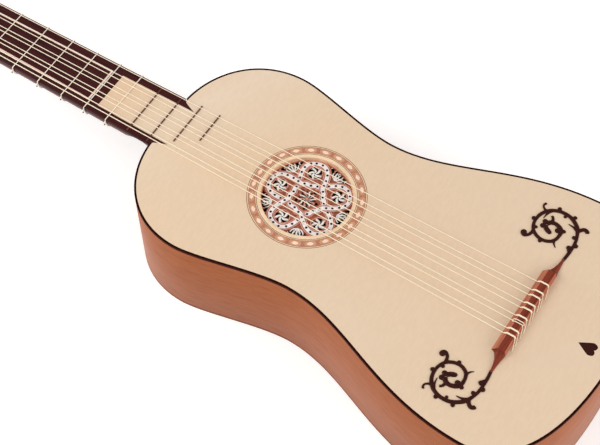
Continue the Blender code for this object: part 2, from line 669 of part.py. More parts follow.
# Neck with its heel, lofted from the head joint to the body.
def neck_section(y, grow=0.0, deeper=0.0, slim=0.0):
    """Half ellipse under the fingerboard from treble to bass; in the heel it is deeper and slimmer."""
    share = (y - HEEL_START_Y) / (STRING_LENGTH - HEEL_START_Y)
    depth = NECK_DEPTH_JOINT + (NECK_DEPTH_NUT - NECK_DEPTH_JOINT) * share
    depth += (UNDER_TOP_Z - HEEL_TOE_HEIGHT - depth) * deeper
    half = neck_half(y) + grow
    section = []
    for i in range(NECK_ARC_STEPS + 1):
        angle = math.pi * i / NECK_ARC_STEPS
        drop = (depth + grow) * math.sin(angle) ** (NECK_ARC_FULLNESS + HEEL_SHARPER * slim)
        across = half * math.copysign(abs(math.cos(angle)) ** (1 + HEEL_SLIMMER * slim), math.cos(angle))
        section.append((across, y, UNDER_TOP_Z - drop))
    return section


neck_rings = [neck_section(NUT_END_Y + HEAD_FROM_NUT), neck_section(HEEL_START_Y)]
for share, deeper, slim in HEEL_STATIONS:
    place = BODY_JOINT_Y + GAP + (HEEL_LENGTH - GAP) * share
    neck_rings.append(neck_section(place, 0, deeper, slim))
neck_rings[0] = [(x, y + (z - UNDER_TOP_Z) * math.tan(HEAD_TILT), z) for x, y, z in neck_rings[0]]
loft_piece("neck", neck_rings, DARK_WOOD)

# Nut with nine string notches.
nut_half = neck_half(STRING_LENGTH)
bpy.ops.mesh.primitive_cube_add(size=1, location=(0, STRING_LENGTH + NUT_WIDTH / 2,
                                                  (UNDER_TOP_Z + GAP + TOP_Z + NUT_RISE) / 2))
nut = bpy.context.object
nut.scale = (2 * nut_half, NUT_WIDTH, TOP_Z + NUT_RISE - UNDER_TOP_Z - GAP)
bpy.ops.object.transform_apply(location=False, rotation=False, scale=True)
put(nut, "nut", BONE)


def string_x(index, end):
    """Place of a string across the bridge (end 0) or the nut (end 1); the first string is index 0."""
    if index == 0:
        return STRING_FIRST_X[end]
    pair, member = divmod(index - 1, 2)
    return PAIR_START_X[end] - pair * PAIR_PITCH[end] + (0.5 - member) * PAIR_SPACING[end]


def rod(name, start, finish, radius, steps=8):
    """Hidden round bar used as a cutter."""
    axis = Vector(finish) - Vector(start)
    solid = bmesh.new()
    bmesh.ops.create_cone(solid, cap_ends=True, segments=steps,
                          radius1=radius, radius2=radius, depth=axis.length)
    turn = axis.to_track_quat("Z", "Y").to_matrix().to_4x4()
    middle = Matrix.Translation((Vector(start) + Vector(finish)) / 2)
    bmesh.ops.transform(solid, matrix=middle @ turn, verts=solid.verts)
    return mesh_piece(name, solid, None, True)


STRINGS = len(STRING_RADIUS)
nut_z = TOP_Z + NUT_STRING_RISE
for i in range(STRINGS):
    x = string_x(i, 1)
    notch = rod("cut_notch_%d" % (i + 1), (x, STRING_LENGTH - NUT_WIDTH, nut_z),
                (x, NUT_END_Y + NUT_WIDTH, nut_z), STRING_RADIUS[i] + GAP)
    combine(nut, notch, "DIFFERENCE")

# Tied frets: gut rings round neck and fingerboard.
fret_axis_z = TOP_Z + GAP + TIED_FRET_RADIUS
for number in range(1, TIED_FRETS + 1):
    y = fret_y(number)
    arc = neck_section(y, GAP + TIED_FRET_RADIUS)
    half = arc[0][0]
    ring = [(-half + TIED_FRET_RADIUS, y, fret_axis_z), (half - TIED_FRET_RADIUS, y, fret_axis_z),
            (half, y, TOP_Z - TIED_FRET_RADIUS)] + arc + [(-half, y, TOP_Z - TIED_FRET_RADIUS)]
    tube_piece("tied_fret_%d" % number, ring, TIED_FRET_RADIUS, GUT, closed=True)

for i, (bass_reach, treble_reach) in enumerate(zip(WOODEN_FRET_BASS_REACH, WOODEN_FRET_TREBLE_REACH)):
    number = TIED_FRETS + 1 + i
    y = fret_y(number)
    rings = [[(x, y + a * WOODEN_FRET_WIDTH, TOP_Z + GAP + b * WOODEN_FRET_HEIGHT)
              for a, b in WOODEN_FRET_PROFILE] for x in (-bass_reach, treble_reach)]
    loft_piece("wooden_fret_%d" % number, rings, DARK_WOOD)

# Bridge, lofted from tail to tail, with a hole for each string.
bridge_half = [(BRIDGE_BLOCK_HALF, BRIDGE_FRONT_FOOT_Y, BRIDGE_FRONT_TOP_Y, BRIDGE_REAR_TOP_Y,
                BRIDGE_REAR_FOOT_Y, BRIDGE_HEIGHT)]
bridge_half += [tuple(value * MM for value in section) for section in BRIDGE_TAIL]
bridge_rings = []
for side, sections in ((-1, bridge_half[::-1]), (1, bridge_half)):
    for out, foot, top, rear_top, rear_foot, height in sections:
        bridge_rings.append([(side * out, foot, TOP_Z + GAP), (side * out, top, TOP_Z + height),
                             (side * out, rear_top, TOP_Z + height), (side * out, rear_foot, TOP_Z + GAP)])
bridge = loft_piece("bridge", bridge_rings, BRIDGE_WOOD)
hole_z = TOP_Z + BRIDGE_HOLE_HEIGHT
for i in range(STRINGS):
    x = string_x(i, 0)
    hole = rod("cut_string_%d" % (i + 1), (x, 2 * BRIDGE_REAR_FOOT_Y, hole_z),
               (x, 2 * BRIDGE_FRONT_FOOT_Y, hole_z), BRIDGE_HOLE_RADIUS)
    combine(bridge, hole, "DIFFERENCE")

for side, name in ((1, "treble"), (-1, "bass")):
    low = TOP_Z + GAP
    vine = strip_loop(SCROLL_VINE, 2, side)
    scroll = flat_piece("scroll_" + name, [vine], low, low + SCROLL_THICK, DARK_WOOD)
    for number, branch in enumerate(SCROLL_BRANCHES):
        twig = flat_piece("join_%s_%d" % (name, number + 1), [strip_loop(branch, 2, side)],
                          low + BRANCH_INSET, low + SCROLL_THICK - BRANCH_INSET, None, True)
        combine(scroll, twig, "UNION")

# Flat head, tilted back, with pegs put in from behind.
head_frame = bpy.data.objects.new("head_frame", None)
parts.objects.link(head_frame)
head_frame.location = (0, HEAD_Y, HEAD_Z)
head_frame.rotation_euler = (-HEAD_TILT, 0, 0)
bpy.context.view_layer.update()
HEAD_MATRIX = head_frame.matrix_world.copy()

shoulder_point = Vector((HEAD_HALF_SHOULDER, HEAD_SHOULDER_S))
end_point = Vector((HEAD_HALF_END, HEAD_LENGTH - HEAD_CREST))
start_point = Vector((HEAD_HALF_START, 0))
crest_point = Vector((0, HEAD_LENGTH))
bend = Vector((0, HEAD_SHOULDER_S * HEAD_SHOULDER_BEND))
head_half = bezier(start_point, start_point + bend, shoulder_point - bend, shoulder_point, 5)
lower_bow = Vector((-HEAD_SIDE_BOW, HEAD_LENGTH * HEAD_SIDE_HANDLES[0]))
upper_bow = Vector((-HEAD_SIDE_BOW, -HEAD_LENGTH * HEAD_SIDE_HANDLES[1]))
head_half += bezier(shoulder_point, shoulder_point + lower_bow, end_point + upper_bow, end_point, 5)
head_half += bezier(end_point, end_point - Vector((HEAD_HALF_END * HEAD_CREST_HANDLES[0], 0)),
                    crest_point + Vector((HEAD_HALF_END * HEAD_CREST_HANDLES[1], 0)), crest_point, 6)
head_half.append(crest_point)
head_loop = [tuple(p) for p in head_half] + [tuple(p) for p in mirrored(head_half)]
head_top = -HEAD_FACE_THICK - GAP
peghead = flat_piece("peghead", [head_loop], head_top - HEAD_THICK, head_top, DARK_WOOD)
peghead_face = flat_piece("peghead_face", [head_loop], -HEAD_FACE_THICK, 0, DARK_WOOD)

head_back = head_top - HEAD_THICK
collar_top = head_back - PEG_COLLAR_DROP


def shaft_radius(height, grow=0.0):
    """Radius of the tapered peg at a height over the head's face."""
    return PEG_TIP_RADIUS + (PEG_TIP_HEIGHT - height) * PEG_SHAFT_GROWTH + grow


def peg_place(number):
    """Place of a peg on the head: the treble pegs take strings 1 to 4, the bass pegs 9 down to 5."""
    if number <= STRINGS - BASS_PEGS:
        row, side = number - 1, 1
    else:
        row, side = STRINGS - number, -1
    share = row / (BASS_PEGS - 1)
    across = PEG_ROW_X[0] + (PEG_ROW_X[1] - PEG_ROW_X[0]) * share
    return side * across, PEG_FIRST_S + row * PEG_SPACING, side


def build_peg(number):
    """Turned shaft with a collar and a flat thumb piece, its origin on its axis at the head's face."""
    x, s, side = peg_place(number)
    profile = [(0.0, PEG_TIP_HEIGHT), (shaft_radius(PEG_TIP_HEIGHT), PEG_TIP_HEIGHT),
               (shaft_radius(collar_top), collar_top), (PEG_COLLAR_RADIUS, collar_top - PEG_COLLAR_EDGE),
               (PEG_COLLAR_RADIUS, collar_top - PEG_COLLAR_LENGTH),
               (PEG_STEM_RADIUS, collar_top - PEG_STEM_LENGTH), (0.0, collar_top - PEG_ROOT_LENGTH)]
    mesh = bpy.data.meshes.new("peg_%d" % number)
    mesh.from_pydata([(r, 0, z) for r, z in profile], [(i, i + 1) for i in range(len(profile) - 1)], [])
    peg = put(bpy.data.objects.new("peg_%d" % number, mesh), "peg_%d" % number, DARK_WOOD)
    screw = peg.modifiers.new("turned", "SCREW")
    screw.steps = PEG_STEPS
    screw.render_steps = PEG_STEPS
    screw.use_merge_vertices = True
    screw.merge_threshold = 0.01 * MM
    screw.use_smooth_shade = False
    thumb_data = bmesh.new()
    bmesh.ops.create_uvsphere(thumb_data, u_segments=10, v_segments=6, radius=1.0)
    size = Matrix.Diagonal((*PEG_THUMB_HALF, 1.0))
    drop = Matrix.Translation((0, 0, collar_top - PEG_COLLAR_LENGTH - PEG_THUMB_HALF[2]))
    bmesh.ops.transform(thumb_data, matrix=drop @ size, verts=thumb_data.verts)
    thumb = mesh_piece("join_thumb_%d" % number, thumb_data, None, True)
    combine(peg, thumb, "UNION")
    for piece in (peg, thumb):
        piece.parent = head_frame
        piece.location = (x, s, 0)
    bore = bmesh.new()
    span = HEAD_THICK + HEAD_FACE_THICK + PEG_BORE_SPARE
    middle = head_back / 2
    lower_radius = shaft_radius(middle - span / 2, 1.5 * GAP)
    upper_radius = shaft_radius(middle + span / 2, 1.5 * GAP)
    bmesh.ops.create_cone(bore, cap_ends=True, segments=PEG_STEPS,
                          radius1=lower_radius, radius2=upper_radius, depth=span)
    cutter = mesh_piece("cut_peg_%d" % number, bore, None, True)
    cutter.parent = head_frame
    cutter.location = (x, s, middle)
    combine(peghead, cutter, "DIFFERENCE")
    combine(peghead_face, cutter, "DIFFERENCE")


for piece in (peghead, peghead_face):
    piece.parent = head_frame
for number in range(1, STRINGS + 1):
    build_peg(number)


def head_point(x, s, height):
    """World place of a point given along the head and over its face."""
    return HEAD_MATRIX @ Vector((x, s, height))


def string_route(index):
    """One string: loop on the bridge, free length, nut, and its winding on the peg."""
    radius = STRING_RADIUS[index]
    bridge_x, nut_x = string_x(index, 0), string_x(index, 1)
    crown = TOP_Z + BRIDGE_HEIGHT + GAP + radius
    rear = BRIDGE_REAR_FOOT_Y - 2 * GAP - radius
    front = BRIDGE_FRONT_TOP_Y
    route = [Vector((bridge_x + 2 * TIE_SLANT, front + TIE_END_REACH, hole_z + 2 * radius + TIE_END_RISE)),
             Vector((bridge_x + TIE_SLANT, front + TIE_CORNER, crown - TIE_CORNER)),
             Vector((bridge_x, front, crown)), Vector((bridge_x, BRIDGE_REAR_TOP_Y, crown)),
             Vector((bridge_x, BRIDGE_REAR_TOP_Y - TIE_CORNER, crown - TIE_CORNER)),
             Vector((bridge_x, rear, hole_z + TIE_CORNER)), Vector((bridge_x, rear + TIE_CORNER, hole_z)),
             Vector((bridge_x, BRIDGE_FRONT_FOOT_Y + TIE_EXIT, hole_z))]
    route += [Vector((nut_x, STRING_LENGTH, nut_z)), Vector((nut_x, NUT_END_Y, nut_z))]
    peg_x, peg_s, side = peg_place(index + 1)
    wind = shaft_radius(WIND_TOP - WIND_TURNS * WIND_PITCH) + GAP + radius
    count = int(WIND_TURNS * WIND_POINTS)
    for i in range(count + 1):
        turn = math.tau * i / WIND_POINTS
        height = WIND_TOP - WIND_PITCH * i / WIND_POINTS
        route.append(head_point(peg_x - side * wind * math.cos(turn), peg_s + wind * math.sin(turn), height))
    return route


def least_gap(route, radius, skip):
    """Least clear distance between parts of a winding that are a turn apart."""
    least = 1.0
    fine = []
    for a, b in zip(route, route[1:]):
        fine += [a.lerp(b, i / 4) for i in range(4)]
    for i, a in enumerate(fine):
        for b in fine[i + skip:]:
            least = min(least, (a - b).length - 2 * radius)
    return least


string_gap = 1.0
for i in range(STRINGS):
    route = string_route(i)
    winding = route[-int(WIND_TURNS * WIND_POINTS) - 1:]
    string_gap = min(string_gap, least_gap(winding, STRING_RADIUS[i], WIND_POINTS * 2))
    tube_piece("string_%d" % (i + 1), route, STRING_RADIUS[i], GUT)
print("least gap of a string winding to itself: %.2f mm" % (string_gap / MM))

for obj in parts.objects:
    if obj.type == "MESH":
        obj.data.shade_smooth()
        obj.data.set_sharp_from_angle(angle=math.radians(35))
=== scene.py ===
"""Looks of a five-course baroque guitar, piece by piece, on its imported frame.

Frame: +X to the treble side, +Y from the bridge to the head, +Z up out of the soundboard.
"""
import math

import bpy
from mathutils import Matrix, Vector


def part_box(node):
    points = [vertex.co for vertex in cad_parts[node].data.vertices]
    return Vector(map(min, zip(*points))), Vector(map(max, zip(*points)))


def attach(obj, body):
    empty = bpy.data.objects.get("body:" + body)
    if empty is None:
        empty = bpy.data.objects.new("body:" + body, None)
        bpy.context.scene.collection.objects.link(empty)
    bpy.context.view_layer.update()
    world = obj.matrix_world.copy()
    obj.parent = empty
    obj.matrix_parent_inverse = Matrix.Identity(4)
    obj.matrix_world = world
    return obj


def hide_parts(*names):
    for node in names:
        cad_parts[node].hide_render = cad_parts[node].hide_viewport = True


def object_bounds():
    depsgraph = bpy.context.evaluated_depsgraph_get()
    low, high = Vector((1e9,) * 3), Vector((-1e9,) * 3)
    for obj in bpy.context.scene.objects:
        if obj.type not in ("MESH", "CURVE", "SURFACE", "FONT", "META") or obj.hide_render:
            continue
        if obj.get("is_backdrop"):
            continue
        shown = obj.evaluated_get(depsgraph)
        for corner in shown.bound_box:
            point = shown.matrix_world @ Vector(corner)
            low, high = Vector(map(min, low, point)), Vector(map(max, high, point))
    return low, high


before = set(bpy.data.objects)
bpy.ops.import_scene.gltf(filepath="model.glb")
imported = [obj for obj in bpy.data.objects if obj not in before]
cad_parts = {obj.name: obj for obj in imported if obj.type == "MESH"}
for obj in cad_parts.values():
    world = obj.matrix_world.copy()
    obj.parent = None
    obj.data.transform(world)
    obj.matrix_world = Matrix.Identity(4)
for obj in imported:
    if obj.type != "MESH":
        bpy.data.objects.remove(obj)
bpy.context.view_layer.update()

# Camera: it stands over the bass side and looks down across the soundboard towards the tail,
# so that the neck leaves the frame at the upper left and the tail at the lower right.
CAMERA_LENS = 98.783
CAMERA_PLACE = (-0.64676, -0.21448, 1.32624)
CAMERA_TURN = (31.4137, 0.7805, -57.1118)
camera = bpy.data.objects.new("camera", bpy.data.cameras.new("camera"))
bpy.context.scene.collection.objects.link(camera)
camera.data.sensor_width = 36
camera.data.lens = CAMERA_LENS
camera.data.clip_end = 50
camera.location = CAMERA_PLACE
camera.rotation_euler = [math.radians(angle) for angle in CAMERA_TURN]
bpy.context.scene.camera = camera
bpy.context.scene.view_settings.view_transform = "Standard"

# Floor and light: a plain white table under a wide soft light and a low one, both from the neck's
# side. Weaker ones stand past the tail, and the room all round is seen by the camera as pale.
MM = 0.001
FLOOR_SIZE = 12
FLOOR_Z = -0.2 * MM
TABLE_GLOW = 0.42
ROOM_LIGHT = 0.55
# Lights: name, place, target, width in metres, power in watts, colour.
LIGHTS = (("window", (-1.0, 1.5, 1.9), (0, 0.2, 0.05), 1.5, 27, (1.0, 0.98, 0.95)),
          ("reflector", (-0.75, -1.9, 1.0), (0, 0.1, 0.05), 1.2, 15, (1.0, 0.96, 0.92)),
          ("side_fill", (1.1, -1.7, 0.8), (0.1, 0, 0.05), 1.0, 11, (1.0, 0.96, 0.95)),
          ("low_window", (-0.5, 1.6, 0.3), (-0.1, 0.3, 0.05), 0.6, 5, (1.0, 0.98, 0.98)))


def add(primitive, **sizes):
    """Add a primitive with nothing else selected; its place and turn go into its mesh."""
    bpy.ops.object.select_all(action="DESELECT")
    primitive(**sizes)
    bpy.ops.object.transform_apply()
    return bpy.context.object


def add_node(owner, kind, inputs, **settings):
    """Add a node to a material or world; an input is a number or another node's socket."""
    node = owner.node_tree.nodes.new("ShaderNode" + kind)
    for setting, value in settings.items():
        setattr(node, setting, value)
    for name, value in inputs.items():
        if isinstance(value, bpy.types.NodeSocket):
            owner.node_tree.links.new(value, node.inputs[name])
        else:
            node.inputs[name].default_value = value
    return node


def seen_directly(owner):
    """1 for rays from the camera, a gloss or a clear material, else 0."""
    ray = add_node(owner, "LightPath", {}).outputs
    either = add_node(owner, "Math", {0: ray["Is Camera Ray"], 1: ray["Is Glossy Ray"]},
                      operation="MAXIMUM")
    return add_node(owner, "Math", {0: either.outputs[0], 1: ray["Is Transmission Ray"]},
                    operation="MAXIMUM").outputs[0]


floor = add(bpy.ops.mesh.primitive_plane_add, size=FLOOR_SIZE, location=(0, 0, FLOOR_Z))
floor.name = "floor"
table = bpy.data.materials.new("table")
table.use_nodes = True
glow = add_node(table, "Math", {0: seen_directly(table), 1: TABLE_GLOW}, operation="MULTIPLY")
shader = table.node_tree.nodes["Principled BSDF"]
shader.inputs["Base Color"].default_value = (0.8, 0.8, 0.8, 1)
shader.inputs["Roughness"].default_value = 0.9
shader.inputs["Emission Color"].default_value = (1, 1, 1, 1)
table.node_tree.links.new(glow.outputs[0], shader.inputs["Emission Strength"])
floor.data.materials.append(table)
floor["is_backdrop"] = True

world = bpy.data.worlds.new("studio")
world.use_nodes = True
bpy.context.scene.world = world
lit_by = world.node_tree.nodes["Background"]
lit_by.inputs["Color"].default_value = (1.0, 0.985, 0.965, 1)
lit_by.inputs["Strength"].default_value = ROOM_LIGHT
pale = add_node(world, "Background", {"Strength": 1.0})
both = add_node(world, "MixShader", {0: seen_directly(world), 1: lit_by.outputs[0], 2: pale.outputs[0]})
world.node_tree.links.new(both.outputs[0], world.node_tree.nodes["World Output"].inputs["Surface"])

for name, place, target, width, power, colour in LIGHTS:
    lamp = bpy.data.lights.new(name, "AREA")
    lamp.size, lamp.energy, lamp.color = width, power, colour
    holder = bpy.data.objects.new(name, lamp)
    bpy.context.scene.collection.objects.link(holder)
    holder.location = place
    holder.rotation_euler = (Vector(target) - Vector(place)).to_track_quat("-Z", "Y").to_euler()

# Back: one flat plate of the same reddish wood as the ribs, let in between its bindings.
# Its edge is broken a little, and a clear oil varnish covers it.
BACK_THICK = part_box("back")[1].z
BINDING_WIDTH = 2.0 * MM
OUTLINE_STEPS = 26
MERGE_GAP = 0.002 * MM
COAT_ROUGHNESS = 0.25


def choose(piece):
    """Select one piece alone and make it active."""
    bpy.ops.object.select_all(action="DESELECT")
    piece.select_set(True)
    bpy.context.view_layer.objects.active = piece


def modify(piece, kind, **settings):
    """Add a modifier with its settings and apply it."""
    modifier = piece.modifiers.new(kind, kind)
    for setting, value in settings.items():
        setattr(modifier, setting, value)
    choose(piece)
    bpy.ops.object.modifier_apply(modifier=modifier.name)


def smooth(piece, angle=35):
    """Shade a piece smooth but keep its sharp edges."""
    choose(piece)
    bpy.ops.object.shade_smooth_by_angle(angle=math.radians(angle))


def round_edges(piece, width, segments=2, angle=40):
    """Break the sharp edges of a piece."""
    modify(piece, "BEVEL", width=width, segments=segments, limit_method="ANGLE",
           angle_limit=math.radians(angle), harden_normals=False)
    smooth(piece)


def draw_line(knots, steps, closed, extra=()):
    """Draw smooth lines through knots (place, handle before, handle after) and make them edges."""
    bpy.ops.object.select_all(action="DESELECT")
    bpy.ops.curve.primitive_bezier_curve_add(location=(0, 0, 0))
    drawing = bpy.context.object.data
    drawing.dimensions = "2D"
    drawing.fill_mode = "NONE"
    drawing.resolution_u = steps
    for line in [knots] + list(extra):
        spline = drawing.splines[0] if line is knots else drawing.splines.new("BEZIER")
        spline.bezier_points.add(len(line) - len(spline.bezier_points))
        for point, (place, before, after) in zip(spline.bezier_points, line):
            point.handle_left_type = point.handle_right_type = "FREE"
            point.co = (*place, 0)
            point.handle_left = (*before, 0)
            point.handle_right = (*after, 0)
        spline.use_cyclic_u = closed
    bpy.ops.object.convert(target="MESH")
    return bpy.context.object


def in_metres(knots):
    """Knots given in millimetres, in metres."""
    return [tuple((x * MM, y * MM) for x, y in knot) for knot in knots]


def mirrored(knots):
    """Knots of the other half of a drawn line, in the opposite order."""
    return [tuple((-x, y) for x, y in (place, after, before)) for place, before, after in knots[::-1]]


def open_mesh(gap=MERGE_GAP):
    """Open the active piece for editing, with all of it selected and its doubles merged."""
    bpy.ops.object.mode_set(mode="EDIT")
    bpy.ops.mesh.select_all(action="SELECT")
    bpy.ops.mesh.remove_doubles(threshold=gap)


def pull_selected(low, high):
    """Lift what is selected to a height, pull it up to another and turn all faces outwards."""
    bpy.ops.transform.translate(value=(0, 0, low))
    bpy.ops.mesh.extrude_region_move(TRANSFORM_OT_translate={"value": (0, 0, high - low)})
    bpy.ops.mesh.select_all(action="SELECT")
    bpy.ops.mesh.normals_make_consistent(inside=False)
    bpy.ops.object.mode_set(mode="OBJECT")


def body_plate(low, high, inset):
    """Plate of the body's outline, moved in by an inset."""
    plate = draw_line(body_line, OUTLINE_STEPS, True)
    open_mesh()
    bpy.ops.mesh.edge_face_add()
    bpy.ops.mesh.inset(thickness=inset, depth=0)
    bpy.ops.mesh.select_all(action="INVERT")
    bpy.ops.mesh.delete(type="VERT")
    bpy.ops.mesh.select_all(action="SELECT")
    pull_selected(low, high)
    return plate


def start_finish(name, roughness, coat=0.0, shine=0.3):
    """New material with its plain numbers and a node for Object coordinates."""
    finish = bpy.data.materials.new(name)
    finish.use_nodes = True
    for socket, value in (("Roughness", roughness), ("Specular IOR Level", shine),
                          ("Coat Weight", coat), ("Coat Roughness", COAT_ROUGHNESS)):
        finish.node_tree.nodes["Principled BSDF"].inputs[socket].default_value = value
    finish.node_tree.nodes.new("ShaderNodeTexCoord")
    return finish


def own_place(finish):
    """Socket of the Object coordinates, which are places in the frame."""
    return finish.node_tree.nodes["Texture Coordinate"].outputs["Object"]


def stretched(finish, stretch):
    """Object coordinates stretched by a mapping."""
    return add_node(finish, "Mapping", {"Vector": own_place(finish), "Scale": stretch}).outputs["Vector"]


def noise(finish, stretch, scale, detail=4.0, wander=0.0):
    """Noise whose pattern is stretched; gives its factor socket."""
    return add_node(finish, "TexNoise", {"Vector": stretched(finish, stretch), "Scale": scale,
                                         "Detail": detail, "Distortion": wander}).outputs["Fac"]


def ramp(finish, factor, *stops):
    """Colour ramp over (position, colour or grey) stops; gives its colour socket."""
    band = add_node(finish, "ValToRGB", {"Fac": factor})
    elements = band.color_ramp.elements
    while len(elements) < len(stops):
        elements.new(0.5)
    for element, (position, colour) in zip(elements, stops):
        element.position = position
        element.color = (*colour, 1) if isinstance(colour, tuple) else (colour, colour, colour, 1)
    return band.outputs["Color"]


def shaded(finish, colour, factor, *stops):
    """Multiply a colour by a ramp over a factor."""
    return add_node(finish, "Mix", {"Factor": 1.0, "A": colour, "B": ramp(finish, factor, *stops)},
                    data_type="RGBA", blend_type="MULTIPLY").outputs["Result"]


def paint(finish, colour):
    """Link a colour to a material's shader."""
    shader = finish.node_tree.nodes["Principled BSDF"]
    finish.node_tree.links.new(colour, shader.inputs["Base Color"])


def raise_grain(finish, height, strength=0.05, depth=0.05 * MM):
    """Link a bump from a height to a material's shader."""
    bump = add_node(finish, "Bump", {"Height": height, "Strength": strength, "Distance": depth})
    shader = finish.node_tree.nodes["Principled BSDF"]
    finish.node_tree.links.new(bump.outputs["Normal"], shader.inputs["Normal"])


def tone(red, green, blue):
    """Linear colour from the 0 to 255 values that a paint chart gives."""
    return tuple((value / 255) ** 2.2 for value in (red, green, blue))


def wood_finish(name, light, dark, stretch, fibre, roughness, coat=0.0, shine=0.3, drift=(1.08, 0.93)):
    """Wood: long fibres between two colours, fine pores, and a slow drift of light and dark."""
    finish = start_finish(name, roughness, coat, shine)
    fibres = noise(finish, stretch, fibre, 6.0, 0.3)
    colour = ramp(finish, fibres, (0.3, tone(*dark)), (0.52, tone(*light)),
                  (0.75, tuple(1.06 * c for c in tone(*light))))
    slow = noise(finish, stretch, fibre / 14, 3.0, 0.8)
    colour = shaded(finish, colour, slow, (0.3, drift[0]), (0.7, drift[1]))
    pores = noise(finish, stretch, fibre * 3, 2.0)
    paint(finish, shaded(finish, colour, pores, (0.3, 0.88), (0.42, 1.0)))
    raise_grain(finish, fibres, 0.12, 0.1 * MM)
    return finish


def dress(piece, name, *finishes):
    """Name a piece and give it its materials."""
    piece.name = name
    for finish in finishes:
        piece.data.materials.append(finish)


# Outline of the body in millimetres, from the treble neck corner round the tail to the bass one.
treble_half = [((30, 367), (30, 367), (70, 363.8)), ((106.1, 287.5), (106.1, 334.5), (106.1, 262.2)),
               ((87.3, 180.2), (87.3, 211.1), (87.3, 118.5)), ((133.3, -14), (133.3, 73), (133.3, -62))]
tail_knot = ((0, -86.5), (80, -86.5), (-80, -86.5))
body_line = in_metres(treble_half + [tail_knot] + mirrored(treble_half))
back_finish = wood_finish("back_wood", (172, 104, 70), (156, 90, 58), (5.0, 0.3, 5.0), 130, 0.42,
                          shine=0.1, drift=(1.04, 0.95))
back = body_plate(0, BACK_THICK, BINDING_WIDTH)
round_edges(back, 0.15 * MM)
dress(back, "back_plate", back_finish)
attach(back, "guitar")
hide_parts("back")

# Ribs: two thin strips bent round the sides from the neck to the tail, where they meet in a joint.
# The grain runs along them.
RIB_THICK = 1.8 * MM
GLUE_LINE = 0.26 * MM
RIB_LOW_Z, RIB_HIGH_Z = (corner_of.z for corner_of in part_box("rib_bass"))
rib_finish = wood_finish("rib_wood", (170, 100, 64), (155, 86, 53), (0.4, 0.4, 6.0), 150, 0.42, 0.12,
                         0.05, (1.05, 0.94))


def bent_strip(knots, low, high, thick):
    """Strip bent round a line: the line is pulled up to its height and thickened inwards."""
    strip = draw_line(knots, OUTLINE_STEPS, False)
    open_mesh()
    pull_selected(low, high)
    widest = max(strip.data.polygons, key=lambda face: abs(face.center.x))
    if widest.normal.x * widest.center.x < 0:
        strip.data.flip_normals()
    modify(strip, "SOLIDIFY", thickness=thick, offset=-1, use_even_offset=True)
    return strip


for side, knots in (("treble", body_line[:5]), ("bass", body_line[4:])):
    rib = bent_strip(knots, RIB_LOW_Z - GLUE_LINE, RIB_HIGH_Z + GLUE_LINE, RIB_THICK)
    round_edges(rib, 0.1 * MM)
    dress(rib, "bent_rib_" + side, rib_finish)
    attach(rib, "guitar")
    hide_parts("rib_" + side)

# Inner frame: linings, end blocks and cross bars of plain split spruce, glued to ribs, back and
# soundboard. Only the neck block shows, beside the heel, where the ribs' wood covers its face.
INNER_NODES = ("tail_block", "soundboard_bar_upper", "soundboard_bar_lower",
               "back_bar_upper", "back_bar_middle", "back_bar_lower", "lining_top_treble",
               "lining_top_bass", "lining_back_treble", "lining_back_bass")
inner_finish = wood_finish("inner_spruce", (226, 196, 150), (196, 158, 110), (1.0, 0.1, 1.0), 300, 0.6)


def copy_of(piece, name):
    """Copy of a piece with its own mesh."""
    copy = bpy.data.objects.new(name, piece.data.copy())
    bpy.context.scene.collection.objects.link(copy)
    return copy


def merged_copy(node, name):
    """Copy of a CAD node with its doubles merged and its flat faces joined."""
    copy = copy_of(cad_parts[node], name)
    choose(copy)
    bpy.ops.mesh.customdata_custom_splitnormals_clear()
    open_mesh()
    bpy.ops.mesh.dissolve_limited(angle_limit=math.radians(0.5))
    bpy.ops.object.mode_set(mode="OBJECT")
    copy.data.materials.clear()
    return copy


for node in INNER_NODES:
    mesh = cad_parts[node].data
    mesh.materials.clear()
    mesh.materials.append(inner_finish)
block = merged_copy("neck_block", "veneered_block")
dress(block, "veneered_block", inner_finish, rib_finish)
for face in block.data.polygons:
    face.material_index = 1 if face.normal.y > 0.9 else 0
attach(block, "guitar")
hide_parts("neck_block")

# Soundboard: quarter-sawn spruce with close straight lines along the strings. Its tongue runs up
# between the points of the fingerboard, and the ground for rosette and heart is cut into it.
TOP_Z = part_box("soundboard")[1].z
SOUNDBOARD_THICK = TOP_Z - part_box("soundboard")[0].z
BODY_JOINT_Y = 367 * MM
TONGUE_END_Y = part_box("soundboard")[1].y
TONGUE_HALF = 19.9 * MM
POINT_Y = 352 * MM
POINT_HALF = 21.0 * MM
POINT_INSET = 1.6 * MM
POINT_HOLLOW = (24.6 * MM, BODY_JOINT_Y - 4.2 * MM)
TONGUE_LAP = 6 * MM
NECK_ROOM = 60 * MM
SEAM = 0.04 * MM
ROSE_Y = 216.4 * MM
HOLE_RADIUS = 41 * MM
ROSETTE_RADIUS = 53.5 * MM
INLAY_THICK = 1.0 * MM
NECK_HALF_JOINT = 29.5 * MM
NECK_HALF_NUT = 25.3 * MM
STRING_LENGTH = 660 * MM
LINE_PERIOD = 1.25 * MM
# Where the painted sheen on the soundboard runs, measured aslant across it.
PAINTED_SHEEN_START, PAINTED_SHEEN_END = 150 * MM, 430 * MM


def cut_with(piece, tool, operation="DIFFERENCE"):
    """Cut a piece with a tool, or join the tool to it; the tool is used up."""
    modify(piece, "BOOLEAN", object=tool, operation=operation, solver="EXACT")
    bpy.data.objects.remove(tool)


def corner(x, y):
    """Knot of a drawn line at a sharp corner."""
    return ((x, y), (x, y), (x, y))


def drawn_plate(knots, steps, low, high, extra=()):
    """Plate between two heights, its edge a closed drawn line."""
    plate = draw_line(knots, steps, True, extra)
    open_mesh()
    bpy.ops.mesh.dissolve_limited(angle_limit=math.radians(0.05))
    bpy.ops.mesh.select_all(action="SELECT")
    bpy.ops.mesh.fill(use_beauty=False)
    bpy.ops.mesh.select_all(action="SELECT")
    bpy.ops.mesh.tris_convert_to_quads()
    pull_selected(low, high)
    return plate


